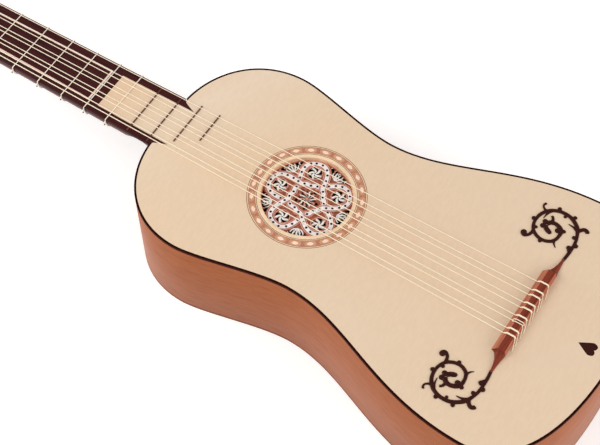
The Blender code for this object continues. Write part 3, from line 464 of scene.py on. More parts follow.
def neck_half(y):
    """Half-width of neck and fingerboard at a place along the strings."""
    share = (y - BODY_JOINT_Y) / (STRING_LENGTH - BODY_JOINT_Y)
    return NECK_HALF_JOINT + (NECK_HALF_NUT - NECK_HALF_JOINT) * share


def fork_knots(clear):
    """Inner and outer edge of a fingerboard point, from the tongue's end to the neck's side."""
    side = neck_half(BODY_JOINT_Y) - POINT_INSET
    tip = (POINT_HALF - clear, POINT_Y - clear)
    hollow = Vector(POINT_HOLLOW)
    side_out = Vector((side, BODY_JOINT_Y)).lerp(hollow, 0.7)
    return [corner(TONGUE_HALF - clear, TONGUE_END_Y - clear),
            (tip, tip, tuple(hollow.lerp(Vector(tip), 0.3))),
            ((side + clear, BODY_JOINT_Y), tuple(side_out), (side + clear, BODY_JOINT_Y))]


soundboard = body_plate(TOP_Z - SOUNDBOARD_THICK, TOP_Z, BINDING_WIDTH)
tongue_half = [corner(POINT_HALF, POINT_Y - TONGUE_LAP), corner(TONGUE_HALF, TONGUE_END_Y)]
tongue = drawn_plate(tongue_half + mirrored(tongue_half), 2, TOP_Z - SOUNDBOARD_THICK, TOP_Z)
cut_with(soundboard, tongue, "UNION")
fork = fork_knots(SEAM) + [corner(NECK_ROOM, BODY_JOINT_Y), corner(NECK_ROOM, TONGUE_END_Y)]
for knots in (fork, mirrored(fork)):
    cut_with(soundboard, drawn_plate(knots, 10, TOP_Z - 2 * SOUNDBOARD_THICK, TOP_Z + SOUNDBOARD_THICK))


def disc(radius, low, high):
    """Round block between two heights about the rose's centre."""
    return add(bpy.ops.mesh.primitive_cylinder_add, vertices=160, radius=radius, depth=high - low,
               location=(0, ROSE_Y, (low + high) / 2))


cut_with(soundboard, disc(ROSETTE_RADIUS + SEAM, TOP_Z - INLAY_THICK, TOP_Z + INLAY_THICK))
cut_with(soundboard, disc(HOLE_RADIUS, TOP_Z - 2 * SOUNDBOARD_THICK, TOP_Z + SOUNDBOARD_THICK))
heart_half = in_metres([((0, -53), (0, -53), (0, -53)), ((6.4, -64.6), (4.608, -60.4), (6.4, -67.4)),
                        ((3.1, -69.4), (5.0, -69.6), (1.6, -69.3)),
                        ((0, -67.6), (0.5, -68.4), (-0.5, -68.4))])
heart_line = heart_half + mirrored(heart_half[1:3])
cut_with(soundboard, drawn_plate(heart_line, 8, TOP_Z - INLAY_THICK, TOP_Z + INLAY_THICK))
smooth(soundboard, 30)

spruce = start_finish("spruce", 0.42, 0.08)
waves = {"Vector": stretched(spruce, (1.0, 0.03, 1.0)), "Scale": math.tau / (20 * LINE_PERIOD),
         "Distortion": 3.2, "Detail": 3.0, "Detail Scale": 0.25}
growth = add_node(spruce, "TexWave", waves, bands_direction="X").outputs["Fac"]
colour = ramp(spruce, growth, (0.0, tone(231, 206, 180)), (0.7, tone(230, 204, 176)),
              (1.0, tone(225, 196, 164)))
cloud = noise(spruce, (1.0, 0.5, 1.0), 9, 3.0, 0.5)
colour = shaded(spruce, colour, cloud, (0.32, 1.0), (0.68, (0.99, 0.965, 0.935)))
# Painted sheen: a paler, whiter band is painted aslant across the upper soundboard towards the neck, and
# the board on either side of it is painted a little darker and warmer.
along = add_node(spruce, "SeparateXYZ", {"Vector": own_place(spruce)}).outputs
aslant = add_node(spruce, "Math", {0: along["X"], 1: 0.5, 2: along["Y"]}, operation="MULTIPLY_ADD")
reach = add_node(spruce, "MapRange", {"Value": aslant.outputs[0], "From Min": PAINTED_SHEEN_START,
                                      "From Max": PAINTED_SHEEN_END})
colour = shaded(spruce, colour, reach.outputs["Result"], (0.0, (0.97, 0.985, 1.0)),
                (0.45, (0.98, 0.99, 0.99)), (0.66, (0.99, 1.04, 1.09)), (0.78, (1.0, 1.08, 1.18)),
                (0.9, (0.98, 1.0, 1.02)), (1.0, (0.97, 0.95, 0.92)))
silk = noise(spruce, (0.35, 1.0, 1.0), 420, 2.0)
paint(spruce, shaded(spruce, colour, silk, (0.42, (0.985, 0.98, 0.975)), (0.6, (1.01, 1.01, 1.005))))
raise_grain(spruce, growth)
dress(soundboard, "soundboard_plate", spruce)
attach(soundboard, "guitar")
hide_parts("soundboard")

# Bindings: a black strip let into the edge of the top, reddish on its outer face, and a brown one
# near the ribs' colour round the back. They run round the body and end at the neck.
EDGE_GRAIN = (2.0, 2.0, 6.0)
binding_finish = wood_finish("binding_wood", (44, 20, 16), (28, 12, 10), EDGE_GRAIN, 120, 0.5, shine=0.02)
binding_side = wood_finish("binding_side", (78, 34, 26), (56, 22, 16), EDGE_GRAIN, 120, 0.5, shine=0.02)
back_edge = wood_finish("back_edge", (140, 80, 52), (116, 64, 42), EDGE_GRAIN, 120, 0.45, shine=0.08)
for name, node, low, high, up, flat_finish, side_finish in (
        ("top_edge", "binding_top", TOP_Z - SOUNDBOARD_THICK, TOP_Z, 1, binding_finish, binding_side),
        ("back_edge", "binding_back", 0, BACK_THICK, -1, back_edge, back_edge)):
    binding = bent_strip(body_line, low, high, BINDING_WIDTH)
    round_edges(binding, 0.2 * MM)
    smooth(binding, 20)
    dress(binding, name, flat_finish, side_finish)
    for face in binding.data.polygons:
        face.material_index = 0 if face.normal.z * up > 0.3 else 1
    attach(binding, "guitar")
    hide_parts(node)

# Heart: dark inlay let into the soundboard below the bridge, its tip to the strings.
# It is scraped level with the spruce.
dark_finish = wood_finish("dark_wood", (56, 23, 16), (38, 14, 10), (3.0, 0.12, 3.0), 160, 0.38, shine=0.12)
heart = drawn_plate(heart_line, 12, TOP_Z - INLAY_THICK, TOP_Z)
round_edges(heart, 0.06 * MM, 1)
dress(heart, "heart", dark_finish)
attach(heart, "guitar")
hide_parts("heart_inlay")

# Rosette: rings of dark and pale wood let in round the rose, and in the widest, brown ring a row of
# pale lozenges with darker spools between them. All of it is scraped level with the soundboard.
LOZENGES = 23
LOZENGE_FIRST = math.radians(91)
BAND_MIDDLE = 49.0 * MM
BAND_PROUD = 0.04 * MM
RING_GRAIN = (3.0, 3.0, 3.0)
line_finish = wood_finish("ring_line", (142, 92, 66), (104, 62, 46), (4.0, 4.0, 4.0), 240, 0.4, 0.15)
band_finish = wood_finish("ring_band", (204, 152, 118), (180, 124, 92), RING_GRAIN, 260, 0.42, 0.15)
spool_finish = wood_finish("ring_spool", (186, 122, 98), (160, 98, 76), RING_GRAIN, 300, 0.42, 0.15)
ring_finish = wood_finish("ring_pale", (240, 212, 178), (228, 194, 156), RING_GRAIN, 260, 0.42, 0.15)
edge_finish = wood_finish("ring_edge", (240, 196, 160), (226, 178, 142), RING_GRAIN, 260, 0.42, 0.1)
lozenge_finish = wood_finish("lozenge", (250, 216, 196), (240, 198, 174), RING_GRAIN, 260, 0.4, 0.15)


def join_all(pieces, name):
    """Join several pieces into the first one."""
    choose(pieces[0])
    for piece in pieces:
        piece.select_set(True)
    bpy.ops.object.join()
    pieces[0].name = name
    return pieces[0]


def flat_ring(inner, outer, low, high, finish):
    """Flat ring round the rose between two heights."""
    ring = disc(outer, low, high)
    cut_with(ring, disc(inner, low - MM, high + MM))
    smooth(ring, 30)
    dress(ring, "ring", finish)
    return ring


def round_the_rose(piece, turn):
    """Copy of a piece turned about the rose's centre."""
    copy = copy_of(piece, piece.name)
    centre = Matrix.Translation((0, ROSE_Y, 0))
    copy.data.transform(centre @ Matrix.Rotation(turn, 4, "Z") @ centre.inverted())
    return copy


rings, inner = [], HOLE_RADIUS
for outer, finish in ((41.6, edge_finish), (44.5, ring_finish), (45.1, line_finish), (45.7, ring_finish),
                      (46.2, line_finish), (51.7, band_finish), (52.2, line_finish), (52.9, ring_finish),
                      (53.5, line_finish)):
    rings.append(flat_ring(inner, outer * MM, TOP_Z - INLAY_THICK, TOP_Z, finish))
    inner = outer * MM
lozenge_knots = [((3.2, 0), (2.6, 0.7), (2.6, -0.7)), ((0, -1.7), (1.2, -1.65), (-1.2, -1.65)),
                 ((-3.2, 0), (-2.6, -0.7), (-2.6, 0.7)), ((0, 1.7), (-1.2, 1.65), (1.2, 1.65))]
spool_knots = [corner(2.6, 2.3), ((1.2, 0), (1.3, 1.2), (1.3, -1.2)), corner(2.6, -2.3),
               corner(-2.6, -2.3), ((-1.2, 0), (-1.3, -1.2), (-1.3, 1.2)), corner(-2.6, 2.3)]
for name, knots, first, finish in (("lozenge", lozenge_knots, 0.0, lozenge_finish),
                                   ("spool", spool_knots, 0.5, spool_finish)):
    knots = [tuple((x * MM, ROSE_Y + BAND_MIDDLE + y * MM) for x, y in knot) for knot in knots]
    inlay = drawn_plate(knots, 6, TOP_Z - 0.3 * INLAY_THICK, TOP_Z + BAND_PROUD)
    dress(inlay, name, finish)
    start = LOZENGE_FIRST - math.pi / 2 + first * math.tau / LOZENGES
    rings += [round_the_rose(inlay, start + math.tau * k / LOZENGES) for k in range(LOZENGES)]
    bpy.data.objects.remove(inlay)
rosette = join_all(rings, "rosette_rings")
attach(rosette, "guitar")
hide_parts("rosette")

# Rose: layers of cut parchment sunk into the hole. A dotted pale ribbon makes five loops over and
# under itself between raised reddish borders, and pierced leaves fill the loops and the rim.
LOBES = 5
ROSE_SINK = 5.0 * MM
RIBBON_STEPS = 480
RIBBON_DEEP = 0.38 * MM
RIBBON_HALF = 1.75 * MM
RIBBON_THICK = 0.25 * MM
BORDER_OUT = 2.95 * MM
BORDER_RADIUS = 0.55 * MM
DOTS = 70
DOT_RADIUS = 1.12 * MM
DOT_THICK = 0.16 * MM
LOOP_HOLE_R, LOOP_HOLE = 28.3 * MM, 6.9 * MM
BORDER_LAP = 0.1 * MM
CIRCLE_STEPS = 48
EVEN = (1, 1, 1)
LOBE_ANGLES = [90 + 360 / LOBES * k for k in range(LOBES)]
rose_floor_z = TOP_Z - ROSE_SINK
ribbon_z = rose_floor_z + RIBBON_DEEP + RIBBON_THICK


def clouded(name, light, dark, scale, roughness, coat=0.0, shine=0.3, detail=2.0, wander=0.0):
    """Parchment, gut or bone: soft clouds between two tones."""
    finish = start_finish(name, roughness, coat, shine)
    cloud = noise(finish, EVEN, scale, detail, wander)
    paint(finish, ramp(finish, cloud, (0.35, tone(*dark)), (0.65, tone(*light))))
    return finish


def stain(name, light, dark, scale, roughness):
    """Stained parchment: soft clouds over a fine raised fibre."""
    finish = clouded(name, light, dark, scale, roughness, 0.0, 0.12, 4.0, 0.4)
    raise_grain(finish, noise(finish, EVEN, scale * 6, 3.0), 0.15)
    return finish


ground_stain = stain("rose_ground", (172, 104, 86), (142, 78, 62), 320, 0.6)
border_stain = stain("rose_border", (220, 160, 142), (198, 132, 114), 320, 0.5)
ribbon_stain = stain("rose_ribbon", (250, 243, 242), (234, 225, 225), 260, 0.5)
leaf_stain = stain("rose_leaf", (254, 254, 252), (222, 222, 218), 420, 0.5)
petal_stain = stain("rose_petal", (226, 176, 158), (200, 146, 128), 420, 0.5)
dot_stain = stain("rose_dot", (14, 9, 9), (6, 4, 4), 420, 0.6)
# The wall is painted a light orange: painted light that offsets the shade it stands in down the hole.
wall_stain_painted_light = stain("rose_wall", (252, 196, 158), (238, 174, 136), 260, 0.5)


def towards(angle):
    """Unit step in a direction seen from above."""
    return Vector((math.cos(angle), math.sin(angle), 0))


def on_rose(radius, degrees, height=0.0):
    """Place at a distance and angle from the rose's centre."""
    angle = math.radians(degrees)
    return Vector((radius * math.cos(angle), ROSE_Y + radius * math.sin(angle), height))


def ribbon_point(turn):
    """Middle of the ribbon; in two turns it swings out and in five times, over and under."""
    swing = turn * LOBES / 2
    radius = (23.6 + 12.4 * math.cos(swing) + 3.6 * math.cos(2 * swing) - 0.3 * math.cos(3 * swing)
              - 1.1 * math.cos(4 * swing)) * MM
    return on_rose(radius, 90 + math.degrees(turn), ribbon_z - RIBBON_DEEP * math.sin(swing))


def sweep(points, radii=(), closed=False, tilt=0.0, **sizes):
    """Section swept along a line and made a mesh; the line is smooth where radii are given."""
    curve = bpy.data.curves.new("line", "CURVE")
    curve.dimensions = "3D"
    for size, value in sizes.items():
        setattr(curve, size, value)
    spline = curve.splines.new("BEZIER" if radii else "POLY")
    knots = spline.bezier_points if radii else spline.points
    knots.add(len(points) - 1)
    for knot, place in zip(knots, points):
        knot.co = place if radii else (*place, 1)
        knot.tilt = tilt
    for knot, radius in zip(knots, radii):
        knot.radius = radius
        knot.handle_left_type = knot.handle_right_type = "AUTO"
    spline.use_cyclic_u = closed
    line = bpy.data.objects.new("line", curve)
    bpy.context.scene.collection.objects.link(line)
    choose(line)
    bpy.ops.object.convert(target="MESH")
    return bpy.context.object


def closed_line(points, finish, **sizes):
    """Closed line of the rose, its section upright."""
    line = sweep(points, closed=True, tilt=math.pi / 2, twist_mode="Z_UP", **sizes)
    smooth(line, 40)
    dress(line, "closed_line", finish)
    return line


path = [ribbon_point(2 * math.tau * i / RIBBON_STEPS) for i in range(RIBBON_STEPS)]
ribbon_parts = [closed_line(path, ribbon_stain, extrude=RIBBON_HALF, bevel_depth=RIBBON_THICK,
                            bevel_resolution=2)]
ahead = [path[(i + 1) % RIBBON_STEPS] - path[i - 1] for i in range(RIBBON_STEPS)]
border_routes = [[point + side * Vector((step.y, -step.x, 0)).normalized() - Vector((0, 0, BORDER_LAP))
                  for point, step in zip(path, ahead)] for side in (BORDER_OUT, -BORDER_OUT)]
border_routes += [[on_rose(LOOP_HOLE_R, lobe, rose_floor_z + BORDER_LAP)
                   + towards(math.tau * i / CIRCLE_STEPS) * (LOOP_HOLE + BORDER_LAP)
                   for i in range(CIRCLE_STEPS)] for lobe in LOBE_ANGLES]
ribbon_parts += [closed_line(route, border_stain, bevel_depth=BORDER_RADIUS, bevel_resolution=3)
                 for route in border_routes]
lengths = [(path[(i + 1) % RIBBON_STEPS] - point).length for i, point in enumerate(path)]
spacing = sum(lengths) / DOTS
dots, reached = 0, 0.0
for point, length in zip(path, lengths):
    if dots * spacing <= reached + 1e-9 and dots < DOTS:
        dot = add(bpy.ops.mesh.primitive_cylinder_add, vertices=14, radius=DOT_RADIUS, depth=DOT_THICK,
                  location=point + Vector((0, 0, RIBBON_THICK)))
        dress(dot, "dot", dot_stain)
        ribbon_parts.append(dot)
        dots += 1
    reached += length
ribbon = join_all(ribbon_parts, "rose_ribbon_band")

# Ground of the rose: a disc of parchment, pierced under the loops, in the gaps at the rim and round
# the middle. It is glued to a low wall that stands round the hole.
ROSE_THICK = 1.0 * MM
ROSE_RIM = 2.7 * MM
WALL_GAP = 0.3 * MM
TO_GAP = 180 / LOBES
# Openings between two loops: distance from the centre in millimetres, degrees from the gap's middle.
RIM_OPENING = ((40.2, -18), (40.2, -9), (40.2, 0), (40.2, 9), (40.2, 18),
               (36.5, 13), (33, 6.5), (30.5, 0), (33, -6.5), (36.5, -13))
DIAMOND = ((11.8, 0), (9.6, 12), (7.9, 0), (9.6, -12))
rose_ground = disc(HOLE_RADIUS + ROSE_RIM, rose_floor_z - ROSE_THICK, rose_floor_z)
for lobe in LOBE_ANGLES:
    punch = add(bpy.ops.mesh.primitive_cylinder_add, vertices=40, radius=LOOP_HOLE, depth=4 * ROSE_THICK,
                location=on_rose(LOOP_HOLE_R, lobe, rose_floor_z))
    cut_with(rose_ground, punch)
    for opening in (RIM_OPENING, DIAMOND):
        places = [on_rose(radius * MM, lobe + TO_GAP + step) for radius, step in opening]
        cut_with(rose_ground, drawn_plate([corner(place.x, place.y) for place in places], 1,
                                          rose_floor_z - 2 * ROSE_THICK, rose_floor_z + ROSE_THICK))
wall = flat_ring(HOLE_RADIUS, HOLE_RADIUS + ROSE_RIM, rose_floor_z,
                 TOP_Z - SOUNDBOARD_THICK - WALL_GAP, wall_stain_painted_light)
wall.name = "rose_wall"
round_edges(rose_ground, 0.12 * MM)
dress(rose_ground, "rose_pierced_ground", ground_stain)

# Leaves cut in thin parchment: a whirl in each loop, a fan in each gap at the rim and a whirl in
# the middle. Each is drawn once and turned round the rose.
LEAF_Z = rose_floor_z - 0.25 * MM
LEAF_FLAT = 0.45
WHIRL_LEAVES = 5
# Leaf of a loop's whirl: millimetres from the loop's middle, turn in radians.
WHIRL_BEND = ((0.7, 0.0), (2.4, 0.35), (4.8, 0.8), (7.2, 1.0))
# Fan: degrees aside, length in millimetres.
FAN = ((-22, 7.8), (-11, 8.2), (0, 8.0), (11, 8.2), (22, 7.8))
FAN_FOOT = 31.2 * MM
FAN_SPREAD = 2.3
FAN_BEND = 0.06 * MM
# Curl at the rim and leaf of the middle whirl: distance in millimetres, degrees on from its start.
RIM_CURL = ((41, 0), (38.8, 3), (37, 1))
MIDDLE_LEAF = ((1.8, 90), (4.4, 112), (7.0, 122), (8.4, 118))
MIDDLE_Z = rose_floor_z + 0.15 * MM
BOSS_RADIUS = 1.5 * MM
gap_angle = LOBE_ANGLES[0] + TO_GAP


def leaf(points, width, finish, height=LEAF_Z):
    """Slim leaf along a bent line: a flattened tube that swells in its middle."""
    swell = [0.35 + 0.65 * math.sin(math.pi * (i + 0.35) / (len(points) - 0.3))
             for i in range(len(points))]
    piece = sweep([(place.x, place.y, 0) for place in points], swell, bevel_depth=width * MM,
                  bevel_resolution=2, resolution_u=5, use_fill_caps=True)
    for vertex in piece.data.vertices:
        vertex.co.z = height + vertex.co.z * LEAF_FLAT
    smooth(piece, 60)
    dress(piece, "leaf", finish)
    return piece


leaves = []
for k in range(WHIRL_LEAVES):
    for wide, lag, finish in ((1.0, 0.0, leaf_stain), (0.3, 0.3, petal_stain)):
        bend = [on_rose(LOOP_HOLE_R, 90) + towards(math.tau * k / WHIRL_LEAVES + lag + twist) * out * MM
                for out, twist in WHIRL_BEND]
        leaves.append(leaf(bend, wide, finish))
for twist, out in FAN:
    base = on_rose(FAN_FOOT, gap_angle)
    away = towards(math.radians(gap_angle + FAN_SPREAD * twist))
    aside = Vector((-away.y, away.x, 0)) * twist * FAN_BEND
    places = [base, base + away * out * 0.55 * MM + aside, base + away * out * MM]
    leaves.append(leaf(places, 0.8, leaf_stain))
for twist in (-14, -7, 0, 7, 14):
    places = [on_rose(radius * MM, gap_angle + twist + step) for radius, step in RIM_CURL]
    leaves.append(leaf(places, 0.5, petal_stain if twist % 2 else leaf_stain))
for twist, finish in ((0, petal_stain), (18, dot_stain), (36, leaf_stain), (54, dot_stain)):
    places = [on_rose(radius * MM, angle + twist) for radius, angle in MIDDLE_LEAF]
    leaves.append(leaf(places, 0.62, finish, MIDDLE_Z))
one_fifth = join_all(leaves, "leaf_fifth")
fifths = [one_fifth] + [round_the_rose(one_fifth, math.tau * k / LOBES) for k in range(1, LOBES)]
boss = add(bpy.ops.mesh.primitive_uv_sphere_add, segments=20, ring_count=10, radius=BOSS_RADIUS,
           location=(0, ROSE_Y, rose_floor_z))
smooth(boss, 60)
dress(boss, "boss", border_stain)
rose_leaves = join_all(fifths + [boss], "rose_leaves")
for piece in (ribbon, rose_ground, wall, rose_leaves):
    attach(piece, "guitar")
    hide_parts("rose")

# Neck: round-backed shaft of dark veneered wood, cut square for the body and slanted for the head.
# At the body it runs out into a short slim heel that comes to a blunt ridge.
NECK_DEPTH_JOINT = 20 * MM
NECK_DEPTH_NUT = 16.5 * MM
HEEL_LENGTH = 28 * MM
HEEL_START_Y = BODY_JOINT_Y + HEEL_LENGTH
HEEL_TOE = 1.5 * MM
# Heel sections: share of its length out from the body, of its depth and of its slimness.
HEEL_SECTIONS = ((1.2, 0, 0), (1.0, 0, 0), (0.75, 0.06, 0.35), (0.55, 0.17, 0.7), (0.42, 0.34, 0.9),
                 (0.34, 0.6, 1), (0.3, 0.86, 1), (0.26, 1, 1), (0, 1, 1), (-0.2, 1, 1))
HEAD_TILT = math.radians(7)
NUT_WIDTH = 5 * MM
HEAD_FROM_NUT = 1 * MM
NECK_STATIONS = 64
HEEL_CUTS = 40
BUTT_GAP = 0.1 * MM
# Powers that round the shaft's back, and that turn it to a ridge and draw its sides in at the heel.
BACK_ROUND, HEEL_RIDGE, HEEL_DRAW = 0.9, 1.1, 1.6
neck_end_y = STRING_LENGTH + NUT_WIDTH + HEAD_FROM_NUT


def neck_depth(y):
    """Depth of the neck's shaft under the fingerboard."""
    share = (y - HEEL_START_Y) / (STRING_LENGTH - HEEL_START_Y)
    return NECK_DEPTH_JOINT + (NECK_DEPTH_NUT - NECK_DEPTH_JOINT) * share


def eased(a, b, c, d, t):
    """Value of a smooth line through four values, a share of the way from the second to the third."""
    return 0.5 * (2 * b + (c - a) * t + (2 * a - 5 * b + 4 * c - d) * t * t
                  + (3 * b - a - 3 * c + d) * t ** 3)


def heel_shape(share):
    """How deep and how slim the heel is at a share of its length, eased through its sections."""
    for before, start, end, after in zip(*(HEEL_SECTIONS[i:] for i in range(4))):
        if end[0] <= share <= start[0]:
            t = (start[0] - share) / (start[0] - end[0])
            return [min(1.0, max(0.0, eased(*values, t)))
                    for values in zip(before[1:], start[1:], end[1:], after[1:])]
    return [0.0, 0.0]


def cut_across(places, axis):
    """Cut the active piece across at places along an axis, so that it can be shaped there."""
    bpy.ops.object.mode_set(mode="EDIT")
    for place in places:
        bpy.ops.mesh.select_all(action="SELECT")
        bpy.ops.mesh.bisect(plane_co=[place * along for along in axis], plane_no=axis)
    bpy.ops.object.mode_set(mode="OBJECT")


neck = add(bpy.ops.mesh.primitive_cylinder_add, vertices=96, radius=1, depth=NECK_STATIONS,
           rotation=(math.pi / 2, 0, 0))
bpy.ops.object.mode_set(mode="EDIT")
bpy.ops.mesh.select_all(action="SELECT")
bpy.ops.mesh.bisect(plane_co=(0, 0, 0), plane_no=(0, 0, 1), clear_outer=True, use_fill=True)
bpy.ops.object.mode_set(mode="OBJECT")
cut_across([i - NECK_STATIONS / 2 for i in range(1, NECK_STATIONS)], (0, 1, 0))
for vertex in neck.data.vertices:
    station = round(vertex.co.y + NECK_STATIONS / 2)
    deeper, slim = 0.0, 0.0
    if station <= HEEL_CUTS:
        y = BODY_JOINT_Y + BUTT_GAP + (HEEL_LENGTH - BUTT_GAP) * station / HEEL_CUTS
        deeper, slim = heel_shape(station / HEEL_CUTS)
    else:
        share = (station - HEEL_CUTS) / (NECK_STATIONS - HEEL_CUTS)
        y = HEEL_START_Y + (neck_end_y - HEEL_START_Y) * share
    depth = neck_depth(y)
    depth += (RIB_HIGH_Z - HEEL_TOE - depth) * deeper
    drop = depth * max(0.0, -vertex.co.z) ** (BACK_ROUND + HEEL_RIDGE * slim)
    across = math.copysign(abs(vertex.co.x) ** (1 + HEEL_DRAW * slim), vertex.co.x)
    slant = drop * math.tan(HEAD_TILT) if station == NECK_STATIONS else 0.0
    vertex.co = (across * neck_half(y), y - slant, RIB_HIGH_Z - drop)
round_edges(neck, 0.3 * MM, 2, 50)
neck_finish = wood_finish("neck_wood", (92, 38, 32), (64, 24, 20), (3.0, 0.1, 3.0), 150, 0.32, 0.05, 0.2)
dress(neck, "neck_shaft", neck_finish)
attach(neck, "guitar")
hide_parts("neck")

# Fingerboard: thin dark board level with the soundboard, with two points that run into it. A pale
# frame line is let into it and ends short of nut and tongue.
LINES_START_Y, LINES_END_Y = (corner_of.y for corner_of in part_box("fingerboard_lines"))
LINES_WIDTH = 1.9 * MM
LINES_EDGE = 9.9 * MM
board_half = fork_knots(0) + [corner(neck_half(BODY_JOINT_Y), BODY_JOINT_Y),
                              corner(neck_half(STRING_LENGTH), STRING_LENGTH)]
board = drawn_plate(board_half + mirrored(board_half), 10, TOP_Z - SOUNDBOARD_THICK, TOP_Z)
round_edges(board, 0.12 * MM, 2, 60)


def frame_line(shift):
    """Rectangle of the pale frame, tapering with the neck."""
    low, high = LINES_START_Y + shift, LINES_END_Y - shift
    edge = LINES_EDGE - LINES_WIDTH / 2 + shift
    half = [corner(neck_half(low) - edge, low), corner(neck_half(high) - edge, high)]
    return half + mirrored(half)


def frame_plate(low, high, grow):
    """Closed flat frame between two heights."""
    return drawn_plate(frame_line(-grow), 1, low, high, [frame_line(LINES_WIDTH + grow)])


cut_with(board, frame_plate(TOP_Z - INLAY_THICK, TOP_Z + INLAY_THICK, SEAM))
board_finish = wood_finish("board_wood", (66, 28, 28), (42, 16, 18), (3.0, 0.1, 3.0), 180, 0.4, shine=0.12)
dress(board, "fingerboard_plate", board_finish)
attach(board, "guitar")
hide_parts("fingerboard")

pale_finish = wood_finish("pale_wood", (250, 226, 212), (240, 208, 188), (3.0, 0.2, 3.0), 200, 0.42, 0.05)
lines = frame_plate(TOP_Z - INLAY_THICK, TOP_Z, 0)
round_edges(lines, 0.05 * MM, 1)
dress(lines, "frame_lines", pale_finish)
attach(lines, "guitar")
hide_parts("fingerboard_lines")

# Head: flat board of the neck's wood with a thin dark face glued on, tilted back behind the nut.
# Nine tapered holes take the pegs in two rows.
GAP = 0.3 * MM
HEAD_FACE_THICK = 1.5 * MM
HEAD_THICK = 12 * MM
PEG_FIRST, PEG_STEP, PEG_ROWS = 34 * MM, 33 * MM, (27.5 * MM, 31.5 * MM)
PEG_TIP_HEIGHT = 12.5 * MM
PEG_TIP_RADIUS = 3.3 * MM
PEG_TAPER = 0.035
PEG_ROOM = 0.1 * MM
STRINGS = 9
TREBLE_PEGS = 4
head_place = Matrix.Translation((0, neck_end_y + GAP, RIB_HIGH_Z)) @ Matrix.Rotation(-HEAD_TILT, 4, "X")


def peg_place(number):
    """Place of a peg across and along the head, and its side."""
    row, side = (number - 1, 1) if number <= TREBLE_PEGS else (STRINGS - number, -1)
    across = PEG_ROWS[0] + (PEG_ROWS[1] - PEG_ROWS[0]) * row / TREBLE_PEGS
    return side * across, PEG_FIRST + row * PEG_STEP, side


def shaft_radius(height):
    """Radius of a peg's taper at a height over the head's face."""
    return PEG_TIP_RADIUS + (PEG_TIP_HEIGHT - height) * PEG_TAPER


head_half = in_metres([((25, 0), (25, 0), (25, 15.4)), ((36, 22), (36, 6.6), (34.5, 80.2)),
                       ((41, 186), (39.5, 147.2), (24.6, 186)), ((0, 194), (14.35, 194), (-14.35, 194))])
for name, node, low, high, broken, finish in (
        ("head_board", "peghead", -HEAD_FACE_THICK - HEAD_THICK - GAP, -HEAD_FACE_THICK, 0.4, dark_finish),
        ("head_veneer", "peghead_face", -HEAD_FACE_THICK, 0, 0.25, board_finish)):
    plate = drawn_plate(head_half + mirrored(head_half[:3]), 16, low, high)
    for number in range(1, STRINGS + 1):
        x, along, side = peg_place(number)
        reamer = add(bpy.ops.mesh.primitive_cone_add, vertices=40, depth=high - low + 2 * MM,
                     radius1=shaft_radius(low) + PEG_ROOM, radius2=shaft_radius(high) + PEG_ROOM,
                     location=(x, along, (low + high) / 2))
        cut_with(plate, reamer)
    round_edges(plate, broken * MM, 3)
    plate.data.transform(head_place)
    dress(plate, name, finish)
    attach(plate, "guitar")
    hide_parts(node)

# Nut: a small bone bar across the end of the fingerboard, with a notch for each string.
# Its edges are rounded by filing.
bone = clouded("bone", (243, 234, 212), (226, 212, 184), 260, 0.35, 0.1, detail=3.0)
raise_grain(bone, noise(bone, EVEN, 260, 3.0))
nut = merged_copy("nut", "nut_bar")
round_edges(nut, 0.25 * MM, 2, 60)
dress(nut, "nut_bar", bone)
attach(nut, "guitar")
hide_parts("nut")

# Body frets: four thin slips of dark wood glued on the soundboard and across the points.
# The last two are short and lie on the treble side only.
fret_finish = wood_finish("fret_wood", (104, 60, 48), (72, 38, 30), (0.1, 3.0, 3.0), 220, 0.4, shine=0.15)
for number in (9, 10, 11, 12):
    fret = merged_copy("wooden_fret_%d" % number, "body_fret_%d" % number)
    round_edges(fret, 0.1 * MM, 2, 60)
    fret.data.materials.append(fret_finish)
    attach(fret, "guitar")
    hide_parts("wooden_fret_%d" % number)

# Tied frets: lengths of gut bound tight round neck and fingerboard and knotted at the bass edge. The
# dark bead at each end is painted shade where it hangs under the board's edge. Each can be pushed
# along the neck, so each rides on its own body.
FRET_RADIUS = 0.45 * MM
KNOT_RADIUS = 0.55 * MM
KNOT_OUT, KNOT_DROP = 1.1 * MM, 1.9 * MM
COIL_STEPS = 12
COIL_LEAD = 0.28 * MM
END_BEAD_RADIUS = 0.75 * MM
END_BEAD_OUT, END_BEAD_DROP = 2.6 * MM, 2.9 * MM
RING_STEPS = 30
fret_gut = clouded("fret_gut", (255, 249, 234), (250, 238, 216), 320, 0.35, 0.1)
# The end bead is painted dark grey: painted shade under the board's edge.
end_bead_painted_shade = clouded("gut_end_painted_shade", (116, 96, 86), (70, 54, 48), 700, 0.5)


def gut_line(points, radius, finish, closed=False):
    """Round gut along a list of points."""
    line = sweep(points, closed=closed, bevel_depth=radius, bevel_resolution=3, use_fill_caps=True)
    open_mesh(0.001 * MM)
    bpy.ops.object.mode_set(mode="OBJECT")
    smooth(line, 50)
    dress(line, "gut", finish)
    return line


def smooth_route(points, steps):
    """Smooth line through points, with a number of steps from each to the next."""
    rows = [Vector(point) for point in points]
    padded = [2 * rows[0] - rows[1]] + rows + [2 * rows[-1] - rows[-2]]
    return [eased(*four, i / steps) for four in zip(padded, padded[1:], padded[2:], padded[3:])
            for i in range(steps)] + [rows[-1]]


